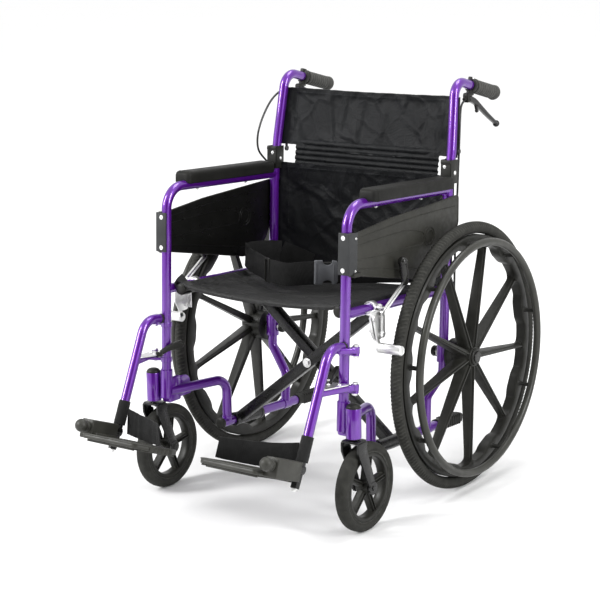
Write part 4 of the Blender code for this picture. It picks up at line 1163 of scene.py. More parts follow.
def fork_piece():
    """A folded fork: crown plate with two leaning, tapering legs."""
    crown = Vector((SWIVEL.x, SWIVEL.y, 0.2085))
    reach = CASTER_HALF + 0.0055
    shapes = []
    plate = rounded([(-reach, -0.0165), (reach, -0.0165), (reach, 0.0180), (-reach, 0.0180)], 0.0035)
    turn = Matrix(((0, 1, 0, 0), (0, 0, 1, 0), (1, 0, 0, 0), (0, 0, 0, 1)))
    shapes.append(placed(slab(plate, -0.0024, 0.0024, 0.0010), Matrix.Translation(crown) @ turn))
    for sign in (-1, 1):
        x = SWIVEL.x + sign * reach
        foot = [
            (CASTER.y + 0.0125 * math.cos(a), CASTER.z + 0.0125 * math.sin(a))
            for a in np.linspace(math.radians(170.0), math.radians(360.0), 14)
        ]
        top = [(crown.y + 0.0180, crown.z - 0.001, 0.004), (crown.y - 0.0165, crown.z - 0.001, 0.004)]
        knee = [(crown.y - 0.0160, crown.z - 0.022, 0.010)]
        outline = [(y, z, 0.0) for y, z in foot] + [(crown.y + 0.0170, crown.z - 0.020, 0.010)] + top + knee
        outline = [p if p[2] else (p[0], p[1], 0.0001) for p in outline]
        shapes.append(slab(rounded(outline, 0.001, 4), x - 0.0024, x + 0.0024, 0.0010))
        boss = Vector((x - sign * 0.0010, CASTER.y, CASTER.z))
        shapes.append(lathe(boss, X * sign, [(0, 0.0140), (0.0034, 0.0146), (0.0044, 0.0138), (0.0046, 0.0100)], 40))
    pair("fork_plate", "fork", "black_paint", shapes, ["fork"])
    bolt = [rod(CASTER - X * 0.0255, CASTER + X * 0.0255, 0.0040, 24)]
    for sign in (-1, 1):
        bolt.append(lathe(CASTER + X * sign * 0.0230, X * sign, [(0, 0.0080), (0.0008, 0.0080), (0.0009, 0.0060)], 28))
        bolt.append(hexagon(CASTER + X * sign * 0.0238, X * sign, 0.0058, 0.0028))
    bolt.append(hexagon(Vector((SWIVEL.x, SWIVEL.y, 0.2061)), -Z, 0.0085, 0.0060))
    pair("fork_bolt", "fork", "black_paint", bolt[1:-1])
    pair("stem_nut", "fork", "bright_metal", [bolt[0], bolt[-1]])


arm_tube()
rear_post()
bottom_rail()
caster_head()
guard()
armrest()
channel()
rear_wheel()
caster()
fork_piece()

# ---- legrest ------------------------------------------------------------------------------------

HANGER_FOOT = up(0.247, -0.5605, 0.1785)
HANGER_BEND = up(0.248, -0.474, 0.391)
HANGER_START = up(0.248, -0.4218, 0.3858)
HANGER_DOWN = (HANGER_FOOT - HANGER_BEND).normalized()
PLATE_PIVOT = PIVOT["footplate_left"]
PLATE_AXIS = -AXIS["footplate_left"].normalized() if AXIS["footplate_left"].y > 0 else AXIS["footplate_left"].normalized()
PLATE_UP = PLATE_AXIS.cross(X) if PLATE_AXIS.cross(X).z > 0 else -PLATE_AXIS.cross(X)
PLATE_TURN = Matrix((X, -PLATE_AXIS, PLATE_UP)).transposed()


def deck(inboard, forward, height):
    """A point beside the footplate's pivot: inboard, forward along its rod, and above the rod."""
    return PLATE_PIVOT - X * inboard + PLATE_AXIS * forward + PLATE_UP * height


def hanger_piece():
    line = bent([HANGER_START, HANGER_BEND, HANGER_FOOT], 0.042)
    shapes = [pipe(line, 0.0105, 32)]
    for z in (UPPER_PIN_Z, LOWER_PIN_Z):
        drop = FRAME_Z * (z - UPPER_PIN_Z)
        pin = SWING_PIN + drop
        shapes.append(lathe(pin - FRAME_Z * 0.0080, FRAME_Z, [(0, 0.0078), (0.0008, 0.0088), (0.0136, 0.0088), (0.0145, 0.0078)], 32))
    a, b = in_frame(SWING_PIN), in_frame(up(0.2520, -0.4400, UPPER_PIN_Z))
    shapes.append(upward(capsule(b[:2], a[:2], 0.0090, 0.0084), a[2] - 0.0062, a[2] + 0.0048, 0.0012))
    level = LOWER_PIN_Z - 0.001
    shapes.append(beam(up(0.2470, -0.5080, level), up(0.2660, -0.4250, level), 0.0125, 0.0125, FRAME_Z, 0.0030))
    shapes.append(beam(up(0.2640, -0.4300, level), up(0.2720, -0.4120, level), 0.0130, 0.0120, FRAME_Z, 0.0020))
    shapes.append(beam(up(0.2600, -0.4620, level), up(0.2240, -0.4460, level), 0.0060, 0.0150, FRAME_Z, 0.0012))
    pair("hanger_tube", "legrest", "purple_paint", shapes, ["hanger"])
    tangent = (line[1] - line[0]).normalized()
    plug = [lathe(HANGER_START - tangent * 0.0012, tangent, [(0, 0.0098), (0.0006, 0.0111), (0.0060, 0.0111), (0.0066, 0.0106)], 32)]
    pair("hanger_plug", "legrest", "black_plastic", plug)
    corner = in_frame(up(0.2480, -0.5030, LOWER_PIN_Z + 0.006))
    outline = [(0.2420, corner[1]), (0.2560, corner[1] + 0.004), (0.2700, corner[1] + 0.078), (0.2250, corner[1] + 0.070)]
    shapes = [upward(rounded(outline, 0.006), corner[2], corner[2] + 0.0026, 0.0005)]
    for x, y in ((0.2360, -0.4560), (0.2560, -0.4450)):
        shapes += screw(up(x, y, LOWER_PIN_Z + 0.0085), FRAME_Z, 0.0030)
    pin = PIVOT["legrest_lever_left"]
    shapes.append(rod(pin - FRAME_Z * 0.004, pin + FRAME_Z * 0.0175, 0.0028, 20))
    pair("latch_plate", "legrest", "bright_metal", shapes)


def latch_lever():
    pin = PIVOT["legrest_lever_left"] + FRAME_Z * 0.0090
    tip = up(0.2130, -0.3900, LOWER_PIN_Z + 0.0250)
    rows = []
    for n in range(13):
        t = n / 12
        centre = pin.lerp(tip, t) + FRAME_Z * 0.004 * math.sin(math.pi * t)
        wide, tall = 0.0052 - 0.0016 * t + 0.0012 * t * t, 0.0046 + 0.0045 * t
        along = (tip - pin).normalized()
        side = along.cross(FRAME_Z).normalized()
        corners = rounded([(-wide, -tall), (wide, -tall), (wide, tall), (-wide, tall)], 0.0022, 3)
        rows.append([centre + side * a + FRAME_Z * b for a, b in corners])
    shapes = [loft(rows), lathe(pin - FRAME_Z * 0.005, FRAME_Z, [(0, 0.0068), (0.001, 0.0078), (0.009, 0.0078), (0.010, 0.0068)], 28)]
    shapes.append(sphere(tip, 0.0068, 20))
    pair("latch_handle", "legrest_lever", "black_plastic", shapes, ["legrest_lever"])


def stem():
    end = deck(0, 0, 0) + HANGER_DOWN * 0.040
    shapes = [
        lathe(HANGER_FOOT + HANGER_DOWN * 0.002, HANGER_DOWN, [(0, 0.0100), (0.0010, 0.0118), (0.0050, 0.0118), (0.0060, 0.0096)], 32),
        rod(HANGER_FOOT + HANGER_DOWN * 0.004, end, 0.0094, 28, 0.0012),
        rod(deck(0, -0.0095, 0), deck(0, 0.0125, 0), 0.0122, 36, 0.0020),
        rod(deck(0, 0.0, 0), deck(0, 0.118, 0), 0.0090, 28),
        lathe(deck(0, 0.1010, 0), PLATE_AXIS, [(0, 0.0090), (0.0005, 0.0120), (0.0035, 0.0124), (0.0060, 0.0100), (0.008, 0.0085)], 32),
        sphere(deck(0, 0.1175, 0), 0.0145, 40),
    ]
    pair("footrest_rod", "legrest", "footplate_plastic", shapes[4:])
    pair("footrest_stem_tube", "legrest", "black_paint", shapes[:4], ["footrest_stem"])
    bolt = [
        lathe(end, HANGER_DOWN, [(0, 0.0080), (0.0012, 0.0080), (0.0013, 0.0060)], 28),
        hexagon(end + HANGER_DOWN * 0.0012, HANGER_DOWN, 0.0062, 0.0048),
    ]
    pair("height_bolt", "legrest", "bright_metal", bolt)


def footplate_piece():
    """The deck with its raised rim, mat ribs and stiffened underside, and the sleeve on the rod."""
    turn = PLATE_TURN
    outline = [
        (0.0145, -0.0165, 0.008), (0.0145, 0.1285, 0.010), (0.1600, 0.1240, 0.020),
        (0.1775, 0.0860, 0.030), (0.1775, 0.0200, 0.020), (0.1640, -0.0165, 0.012),
    ]
    edge = rounded(outline, 0.01, 8)
    flat = Matrix((-X, PLATE_AXIS, PLATE_UP)).transposed().to_4x4()
    flat.translation = PLATE_PIVOT

    def level(shape_outline, low, high, bevel):
        swap = Matrix(((0, 1, 0, 0), (0, 0, 1, 0), (1, 0, 0, 0), (0, 0, 0, 1)))
        return placed(slab(shape_outline, low, high, bevel), flat @ swap)

    shapes = [level(edge, -0.0245, -0.0150, 0.0022)]
    rim = [deck(u, s, -0.0148) for u, s in edge]
    shapes.append(pipe(rim + rim[:1], 0.0016, 10))
    for n in range(12):
        s = -0.004 + 0.0102 * n
        shapes.append(beam(deck(0.026, s, -0.0148), deck(0.166 - 0.006 * (n > 9), s, -0.0148), 0.0036, 0.0022, PLATE_AXIS, 0.0008))
    for n in range(8):
        u = 0.026 + 0.0198 * n
        shapes.append(beam(deck(u, -0.006, -0.0255), deck(u, 0.108, -0.0255), 0.0030, 0.0060, X, 0.0006))
    shapes.append(beam(deck(0.020, -0.010, -0.0262), deck(0.160, -0.010, -0.0262), 0.0040, 0.0075, PLATE_AXIS, 0.0008))
    shapes.append(beam(deck(0.020, 0.112, -0.0262), deck(0.150, 0.112, -0.0262), 0.0040, 0.0075, PLATE_AXIS, 0.0008))
    shapes.append(box((0.0330, 0.0870, 0.0415), deck(0, 0.0570, -0.0045), turn, 0.0030, 4))
    shapes.append(box((0.0300, 0.0790, 0.0130), deck(0.012, 0.0560, -0.0165), turn, 0.0030, 3))
    for s in (0.0165, 0.0985):
        shapes.append(lathe(deck(0, s - 0.0015, 0), PLATE_AXIS, [(0, 0.0150), (0.0006, 0.0164), (0.0024, 0.0164), (0.0030, 0.0150)], 36))
    for n in range(6):
        shapes.append(box((0.0026, 0.0110, 0.0120), deck(0.1765, 0.022 + 0.013 * n, -0.0200), turn, 0.0008, 2))
    pair("footplate_deck", "footplate", "footplate_plastic", shapes, ["footplate"])


# ---- wheel lock ---------------------------------------------------------------------------------

LOCK_PIVOT = PIVOT["lock_lever_left"]
SHOE_PIVOT = PIVOT["lock_shoe_left"]
LOCK_FACE_X = 0.2665


def lock_base():
    """The clamp on the seat rail, its bolted ears and the pressed plate that carries the linkage."""
    rail = up(POST_X, -0.310, SEAT_RAIL_Z)
    section = [(0.0113, -0.0090), (0.0148, -0.0090), (0.0155, -0.0080), (0.0155, 0.0080), (0.0148, 0.0090), (0.0113, 0.0090)]
    rows = []
    for n in range(48):
        angle = 2 * math.pi * n / 48
        out = X * math.cos(angle) + FRAME_Z * math.sin(angle)
        rows.append([rail + out * r + FRAME_Y * y for r, y in section])
    shapes = [loft(rows, closed_loft=True)]
    shapes.append(box((0.0240, 0.0180, 0.0028), rail + X * 0.0210 + FRAME_Z * 0.0050, LEAN_TURN, 0.0008))
    shapes.append(box((0.0240, 0.0180, 0.0028), rail + X * 0.0210 - FRAME_Z * 0.0030, LEAN_TURN, 0.0008))
    shapes.append(rod(rail + X * 0.0215 - FRAME_Z * 0.012, rail + X * 0.0215 + FRAME_Z * 0.012, 0.0030, 20))
    shapes.append(hexagon(rail + X * 0.0215 + FRAME_Z * 0.0064, FRAME_Z, 0.0056, 0.0040))
    shapes.append(hexagon(rail + X * 0.0215 - FRAME_Z * 0.0044, -FRAME_Z, 0.0056, 0.0040))
    y, z = AXLE.y - 0.3205, 0.4370
    outline = [
        (y - 0.0230, z + 0.0310, 0.008), (y - 0.0230, z - 0.0080, 0.010), (y - 0.0080, z - 0.0330, 0.008),
        (y + 0.0230, z - 0.0330, 0.008), (y + 0.0230, z + 0.0310, 0.006),
    ]
    shapes.append(slab(rounded(list(reversed(outline)), 0.005), LOCK_FACE_X - 0.0015, LOCK_FACE_X + 0.0010, 0.0006))
    shapes.append(box((0.0120, 0.0024, 0.0560), Vector((LOCK_FACE_X - 0.0065, y + 0.0222, z)), None, 0.0008))
    shapes.append(box((0.0120, 0.0440, 0.0024), Vector((LOCK_FACE_X - 0.0065, y, z + 0.0305)), None, 0.0008))
    for place, outer in ((LOCK_PIVOT, 0.0084), (SHOE_PIVOT, 0.0040)):
        base = Vector((LOCK_FACE_X, place.y, place.z))
        shapes.append(rod(base, base + X * outer, 0.0034, 20))
        shapes.append(hexagon(base - X * 0.0015, -X, 0.0056, 0.0040))
        shapes.append(hexagon(base + X * (outer - 0.0002), X, 0.0054, 0.0030))
    for dy, dz in ((-0.014, 0.020), (0.013, 0.018), (0.014, -0.022)):
        shapes += screw(Vector((LOCK_FACE_X + 0.0010, y + dy, z + dz)), X, 0.0026)
    pair("lock_plate", "frame", "bright_metal", shapes, ["lock_bracket"])
    spring = []
    for n in range(91):
        angle = 2 * math.pi * n / 12
        spring.append(Vector((LOCK_FACE_X - 0.0085 + 0.0030 * math.cos(angle), y - 0.010 + 0.0003 * n, z - 0.012 + 0.0030 * math.sin(angle))))
    pair("lock_spring", "frame", "bright_metal", [pipe(spring, 0.0006, 8)])


def lock_handle():
    near = LOCK_PIVOT.x + 0.0025
    pivot = Vector((near, LOCK_PIVOT.y, LOCK_PIVOT.z))
    knee, wrist, tip = at(near, -0.306, 0.462), at(near, -0.221, 0.512), at(near, -0.230, 0.562)
    shapes = [lathe(pivot - X * 0.0020, X, [(0, 0.0078), (0.0004, 0.0084), (0.0036, 0.0084), (0.0040, 0.0078)], 32)]
    shapes.append(beam(pivot, knee, 0.0038, 0.0130, X, 0.0010))
    shapes.append(lathe(knee - X * 0.0019, X, [(0, 0.0064), (0.0038, 0.0064)], 28))
    along = (wrist - knee).normalized()
    side = along.cross(X)
    for sign in (-1, 1):
        shift = side * sign * 0.0040
        shapes.append(beam(knee + shift, wrist + along * 0.004 + shift, 0.0052, 0.0022, X, 0.0008))
    shapes.append(beam(knee, wrist + along * 0.004, 0.0016, 0.0086, X, 0.0006))
    shapes.append(rod(wrist - along * 0.002 - Z * 0.002, wrist + Z * 0.006, 0.0052, 24))
    pair("lock_arm", "lock_lever", "bright_metal", shapes, ["lock_lever"])
    wrist, tip = wrist + X * 0.0016, tip + X * 0.0016
    base = wrist - (tip - wrist) * 0.06
    reach = (tip - base).length
    profile = [(0, 0.0064), (0.0015, 0.0074), (reach * 0.30, 0.0080), (reach * 0.55, 0.0094)]
    centre = reach - 0.0020
    profile += [(centre - 0.0108 * math.cos(a), 0.0108 * math.sin(a)) for a in np.linspace(1.05, math.pi, 16)]
    pair("lock_grip", "lock_lever", "gloss_plastic", [lathe(base, tip - base, profile, 36)])


def lock_shoe_piece():
    pivot = Vector((0.2705, SHOE_PIVOT.y, SHOE_PIVOT.z))
    shoe = at(0.2705, -0.315, 0.388)
    outer = Vector((0.3270, shoe.y, shoe.z))
    shapes = [
        rod(pivot - X * 0.0013, pivot + X * 0.0013, 0.0064, 28, 0.0004),
        beam(pivot, shoe, 0.0026, 0.0100, X, 0.0006),
        rod(shoe - X * 0.0013, shoe + X * 0.0013, 0.0112, 28, 0.0004),
        lathe(shoe, X, [(0, 0.0100), (0.002, 0.0109), (outer.x - shoe.x - 0.001, 0.0109), (outer.x - shoe.x, 0.0101), (outer.x - shoe.x - 0.0008, 0.0090)], 36),
    ]
    pair("lock_roller", "lock_shoe", "bright_metal", shapes, ["lock_shoe"])
    plug = lathe(Vector((outer.x - 0.0012, shoe.y, shoe.z)), X, [(0, 0.0088), (0.0006, 0.0088), (0.0010, 0.0070)], 28)
    pair("roller_plug", "lock_shoe", "bright_metal", [plug])


# ---- back ---------------------------------------------------------------------------------------

GRIP_START = at(0.234, 0.137, 0.8986)
GRIP_END = at(0.234, 0.236, 0.8738)
GRIP_ALONG = (GRIP_END - GRIP_START).normalized()
LEVER_PIVOT = PIVOT["brake_lever_left"]
LATCH_PIVOT = PIVOT["back_latch_left"]


def cane_line():
    """The cane's centre line, from its hinge up and back into the handle."""
    return bent([BACK_PIN, at(0.242, 0.031, 0.765), at(0.234, 0.058, 0.9185), GRIP_END], 0.034)


def cane():
    shapes = [pipe(cane_line(), TUBE, 32), rod(BACK_PIN - X * 0.0104, BACK_PIN + X * 0.0104, 0.0106, 32)]
    pair("cane_tube", "back", "purple_paint", shapes, ["back_cane"])
    steel = []
    for z in (0.775, 0.870):
        place = at(0.2408 - (z - 0.765) * 0.052, 0.0327 + (z - 0.775) * 0.176, z)
        steel += screw(place + Y * 0.0122, Y, 0.0030)
    pair("cane_screws", "back", "bright_metal", steel)


def handle():
    """The ribbed push grip with its flared end and the collar that clamps the brake lever."""
    length = (GRIP_END - GRIP_START).length + 0.001
    profile = [(0, 0.0120), (0.0006, 0.0163), (0.0040, 0.0172), (0.0062, 0.0160)]
    for n in range(9):
        base = 0.0100 + 0.0088 * n
        profile += [(base, 0.0160), (base + 0.0012, 0.0152), (base + 0.0030, 0.0152), (base + 0.0042, 0.0162)]
    profile += [(length - 0.0080, 0.0168), (length - 0.0040, 0.0172), (length - 0.0012, 0.0160), (length, 0.0120), (length, 0.0)]
    heel = sphere(GRIP_END - GRIP_ALONG * 0.008 - Z * 0.004, 0.0142, 32)
    pair("push_grip", "back", "grip_rubber", [lathe(GRIP_START, GRIP_ALONG, profile, 48), heel], ["grip"])
    low = GRIP_START - GRIP_ALONG * 0.014
    down = (LEVER_PIVOT - low).normalized()
    shapes = [
        lathe(low, GRIP_ALONG, [(0, 0.0125), (0.0005, 0.0150), (0.0018, 0.0158), (0.0110, 0.0158), (0.0125, 0.0150)], 40),
        beam(low + GRIP_ALONG * 0.006 + down * 0.010, LEVER_PIVOT + Z * 0.0085, 0.0120, 0.0150, X, 0.0025),
        box((0.0150, 0.0250, 0.0075), LEVER_PIVOT + Vector((0.0, -0.0030, 0.0095)), None, 0.0025, 3),
        box((0.0150, 0.0085, 0.0200), LEVER_PIVOT + Vector((0.0, -0.0130, 0.0018)), None, 0.0025, 3),
        rod(LEVER_PIVOT + Vector((0.0, -0.0120, 0.0040)), LEVER_PIVOT + Vector((0.0, -0.0240, -0.0010)), 0.0044, 24),
        box((0.0100, 0.0150, 0.0110), low + GRIP_ALONG * 0.007 + Z * 0.0138, Matrix.Rotation(-0.25, 3, "X"), 0.0022, 3),
    ]
    pair("lever_clamp", "back", "black_plastic", shapes)
    steel = screw(low + GRIP_ALONG * 0.006 + X * 0.0050 + Z * 0.0160, X, 0.0024)
    pair("clamp_screw", "back", "bright_metal", steel)


def hand_brake():
    tip = Vector((LEVER_PIVOT.x, AXLE.y + 0.245, 0.801))
    knee = Vector((LEVER_PIVOT.x, AXLE.y + 0.160, 0.853))
    line = smooth([LEVER_PIVOT - Y * 0.004, LEVER_PIVOT.lerp(knee, 0.55) + Z * 0.0015, knee, knee.lerp(tip, 0.5) - Z * 0.0012, tip], 8)
    rows = []
    for n, place in enumerate(line):
        t = n / (len(line) - 1)
        tangent = (line[min(n + 1, len(line) - 1)] - line[max(n - 1, 0)]).normalized()
        high = tangent.cross(X).normalized()
        wide = 0.0064 - 0.0012 * t
        tall = 0.0078 - 0.0040 * t**0.7
        corners = rounded([(-wide, -tall), (wide, -tall), (wide, tall), (-wide, tall)], 0.0030, 3)
        rows.append([place + X * a + high * b for a, b in corners])
    shapes = [loft(rows), sphere(tip, 0.0080, 28), rod(LEVER_PIVOT - X * 0.0066, LEVER_PIVOT + X * 0.0066, 0.0058, 28)]
    catch = LEVER_PIVOT.lerp(knee, 0.72)
    shapes.append(beam(catch - Z * 0.002, catch + Vector((0, 0.006, -0.017)), 0.0065, 0.0060, X, 0.0018))
    shapes.append(sphere(catch + Vector((0, 0.006, -0.018)), 0.0046, 20))
    pair("hand_lever", "brake_lever", "black_paint", shapes, ["brake_lever"])


def latch():
    tip = LATCH_PIVOT + Vector((0.0155, 0.0210, 0.0205))
    shapes = [
        rod(LATCH_PIVOT - X * 0.0024, LATCH_PIVOT + X * 0.0024, 0.0062, 28),
        beam(LATCH_PIVOT, tip, 0.0044, 0.0085, X, 0.0012),
        sphere(tip, 0.0088, 28),
    ]
    pair("latch_knob", "back_latch", "gloss_plastic", shapes, ["back_latch"])


# ---- scissor ------------------------------------------------------------------------------------

BRACE_SIDE = 0.025


def brace_piece(name, low_side, y, bolted):
    low = up(low_side * RAIL_X, y, LOWER_RAIL_Z)
    high = up(-low_side * SEAT_TUBE_X, y, SEAT_TUBE_Z)
    sleeve_front, sleeve_back = up(low_side * RAIL_X, -0.214, LOWER_RAIL_Z), up(low_side * RAIL_X, -0.110, LOWER_RAIL_Z)
    seat_front, seat_back = up(-low_side * SEAT_TUBE_X, -0.386, SEAT_TUBE_Z), up(-low_side * SEAT_TUBE_X, -0.022, SEAT_TUBE_Z)
    shapes = [
        beam(low, high, BRACE_SIDE, BRACE_SIDE, FRAME_Y, 0.0042),
        rod(sleeve_front, sleeve_back, 0.0152, 36, 0.0010),
        rod(seat_front, seat_back, TUBE, 32),
    ]
    for place in (sleeve_front, sleeve_back):
        inward = (sleeve_back - sleeve_front).normalized() * (1 if place == sleeve_front else -1)
        shapes.append(rod(place, place + inward * 0.010, 0.0162, 36, 0.0015))
    single(name + "_arm", name, "black_paint", shapes, [name])
    cap = [(0, 0.0108), (0.0006, 0.0124), (0.0085, 0.0126), (0.0105, 0.0112), (0.0118, 0.0070)]
    caps = [lathe(seat_front + FRAME_Y * 0.0010, -FRAME_Y, cap, 36)]
    caps.append(lathe(seat_back - FRAME_Y * 0.0010, FRAME_Y, cap, 36))
    single(name + "_caps", name, "black_plastic", caps)
    if not bolted:
        return
    centre = PIVOT["brace_cross"]
    face = -FRAME_Y
    steel = [
        rod(centre - face * 0.030, centre + face * 0.016, 0.0048, 24),
        lathe(centre + face * (BRACE_SIDE / 2 + 0.0003), face, [(0, 0.0110), (0.0010, 0.0110), (0.0011, 0.0080)], 32),
        hexagon(centre + face * (BRACE_SIDE / 2 + 0.0012), face, 0.0082, 0.0052),
    ]
    single("cross_bolt", name, "bright_metal", steel)


def seat_link():
    """The flat black link under the seat, from brace A's upper end towards the middle."""
    high = up(-SEAT_TUBE_X + 0.034, -0.155, SEAT_TUBE_Z - 0.030)
    low = up(-SEAT_TUBE_X + 0.112, -0.205, SEAT_TUBE_Z - 0.040)
    shapes = [beam(high, low, 0.0240, 0.0060, FRAME_Z, 0.0015)]
    single("seat_link", "brace_a", "black_paint", shapes)
    single("seat_link_bolt", "brace_a", "bright_metal", screw(low - (low - high) * 0.10 + Vector((0.0, -0.0034, 0.004)), -FRAME_Y, 0.0034))


def scissor():
    brace_piece("brace_a", 1, -0.155, True)
    brace_piece("brace_b", -1, -0.188, False)


# ---- cables -------------------------------------------------------------------------------------

CABLE_TAIL = (
    (0.2480, 0.0400, 0.6000),
    (0.2490, 0.0340, 0.5200),
    (0.2500, 0.0300, 0.4500),
    (0.2510, 0.0300, 0.3900),
    (0.2530, 0.0310, 0.3500),
    (0.2570, 0.0290, 0.3180),
)
CABLE_TOP = {
    1: (
        (0.2340, 0.1000, 0.8700),
        (0.2345, 0.0840, 0.8560),
        (0.2400, 0.0700, 0.8200),
        (0.2440, 0.0600, 0.7700),
        (0.2460, 0.0530, 0.7200),
        (0.2470, 0.0470, 0.6600),
    ),
    -1: (
        (0.2340, 0.1000, 0.8700),
        (0.2400, 0.0860, 0.8740),
        (0.2510, 0.0600, 0.8720),
        (0.2570, 0.0280, 0.8520),
        (0.2600, -0.0030, 0.8150),
        (0.2630, -0.0200, 0.7750),
        (0.2650, -0.0160, 0.7380),
        (0.2650, 0.0140, 0.7080),
        (0.2610, 0.0410, 0.6800),
        (0.2530, 0.0480, 0.6420),
    ),
}


def cables():
    """Each brake cable, whole, from the lever's clamp to the hub's drum."""
    for side, sign in SIDES:
        route = smooth([at(sign * x, y, z) for x, y, z in CABLE_TOP[sign] + CABLE_TAIL], 8)
        shapes = [pipe(route, 0.0025, 14)]
        obj = make(f"cable_{side}", shapes, PAINT["cable_sheath"], 60.0)
        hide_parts(f"brake_cable_{side}")
        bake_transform(obj)
        ferrule = rod(route[-1], route[-1] + (route[-4] - route[-1]).normalized() * 0.016, 0.0038, 20)
        single(f"cable_ferrule_{side}", f"frame_{side}", "bright_metal", [ferrule])


hanger_piece()
latch_lever()
stem()
footplate_piece()
lock_base()
lock_handle()
lock_shoe_piece()
cane()
handle()
hand_brake()
latch()
scissor()
cables()

# ---- fabric -------------------------------------------------------------------------------------

CLOTH_STEPS = 26
CLOTH_THICKNESS = 0.0016
HEM = 0.0018
STITCH_PITCH = 0.0050


def settle(rows, held, slack, weight, most):
    """Let a sheet hang as cloth from its held points, with some spare cloth. No point moves more than most."""
    wide = len(rows[0])
    start = [p for row in rows for p in row]
    mesh = bpy.data.meshes.new("cloth")
    quads = [
        (i * wide + j, i * wide + j + 1, (i + 1) * wide + j + 1, (i + 1) * wide + j)
        for i in range(len(rows) - 1)
        for j in range(wide - 1)
    ]
    mesh.from_pydata([tuple(p) for p in start], [], quads)
    obj = bpy.data.objects.new("cloth", mesh)
    scene = bpy.context.scene
    scene.collection.objects.link(obj)
    group = obj.vertex_groups.new(name="held")
    for index in range(len(start)):
        group.add([index], held(index // wide, index % wide), "REPLACE")
    modifier = obj.modifiers.new("cloth", "CLOTH")
    cloth = modifier.settings
    cloth.quality = 7
    cloth.mass = 0.25
    cloth.air_damping = 2.0
    cloth.tension_stiffness = 40.0
    cloth.compression_stiffness = 20.0
    cloth.shear_stiffness = 10.0
    cloth.bending_stiffness = 0.35
    cloth.vertex_group_mass = "held"
    cloth.shrink_min = -slack
    cloth.shrink_max = -slack
    cloth.effector_weights.gravity = weight
    modifier.point_cache.frame_start = 1
    modifier.point_cache.frame_end = CLOTH_STEPS
    for step in range(1, CLOTH_STEPS + 1):
        scene.frame_set(step)
    hung = obj.evaluated_get(bpy.context.evaluated_depsgraph_get()).to_mesh()
    places = []
    for before, vertex in zip(start, hung.vertices):
        move = vertex.co - before
        if move.length > most:
            move *= most / move.length
        places.append(before + move)
    bpy.data.objects.remove(obj, do_unlink=True)
    bpy.data.meshes.remove(mesh)
    scene.frame_set(1)
    return [places[i * wide:(i + 1) * wide] for i in range(len(rows))]


def grid_normals(rows):
    """The normal at each point of a grid of points."""
    result = []
    for i, row in enumerate(rows):
        line = []
        for j in range(len(row)):
            along = row[min(j + 1, len(row) - 1)] - row[max(j - 1, 0)]
            across = rows[min(i + 1, len(rows) - 1)][j] - rows[max(i - 1, 0)][j]
            line.append(along.cross(across).normalized())
        result.append(line)
    return result


def sheet_shape(rows, thick):
    """A closed sheet round a grid of points. thick(i, j) is the thickness at a point."""
    normals = grid_normals(rows)
    high, wide = len(rows), len(rows[0])
    points = []
    for sign in (1, -1):
        for i, row in enumerate(rows):
            for j, place in enumerate(row):
                points.append(tuple(place + normals[i][j] * sign * thick(i, j) / 2))
    faces = []
    back = high * wide
    for i in range(high - 1):
        for j in range(wide - 1):
            a, b, c, d = i * wide + j, i * wide + j + 1, (i + 1) * wide + j + 1, (i + 1) * wide + j
            faces.append((a, b, c, d))
            faces.append((back + d, back + c, back + b, back + a))
    rim = [j for j in range(wide)] + [i * wide + wide - 1 for i in range(1, high)]
    rim += [(high - 1) * wide + j for j in range(wide - 2, -1, -1)] + [i * wide for i in range(high - 2, 0, -1)]
    for a, b in zip(rim, rim[1:] + rim[:1]):
        faces.append((b, a, back + a, back + b))
    return points, faces


def stitches(line, out, lift):
    """A row of lockstitch dashes along a line, raised from the cloth."""
    shapes = []
    travelled = 0.0
    for n in range(len(line) - 1):
        start, end = line[n], line[n + 1]
        span = (end - start).length
        while travelled < span:
            a = start.lerp(end, travelled / span) + out[n] * lift
            b = a + (end - start).normalized() * STITCH_PITCH * 0.62
            shapes.append(rod(a, b, 0.00045, 5, 0.0002))
            travelled += STITCH_PITCH
        travelled -= span
    return shapes


def spread(start, end, step):
    """Evenly spaced values from start to end, about step apart."""
    count = max(1, round(abs(end - start) / step))
    return [start + (end - start) * n / count for n in range(count + 1)]


def with_lines(values, lines):
    """Grid values with extra ones on both sides of each hem line, so the hem keeps a crisp edge."""
    extra = {round(line + shift, 5) for line in lines for shift in (-0.0012, 0.0012)}
    kept = [v for v in values if all(abs(v - e) > 0.0014 for e in extra)]
    return sorted(set(kept) | extra)


def crease(place, start, end, width, height):
    """The height of one soft fold at a place, both given in the sheet's own flat coordinates."""
    start, end, place = Vector(start), Vector(end), Vector(place)
    along = end - start
    t = max(0.0, min(1.0, (place - start).dot(along) / along.length_squared))
    away = (place - start - along * t).length
    fade = math.sin(math.pi * min(1.0, max(0.0, 0.08 + 0.84 * t)))
    return height * fade * math.exp(-((away / width) ** 2))


def cloth_piece(name, body, shape, cloth="nylon"):
    obj = make(name, [shape], PAINT[cloth], 80.0)
    if body:
        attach(obj, body)
    return obj


# ---- seat ---------------------------------------------------------------------------------------

SEAT_SAG = 0.0125
SEAT_FRONT = -0.392
SEAT_BACK = -0.026
SLEEVE = 0.0126


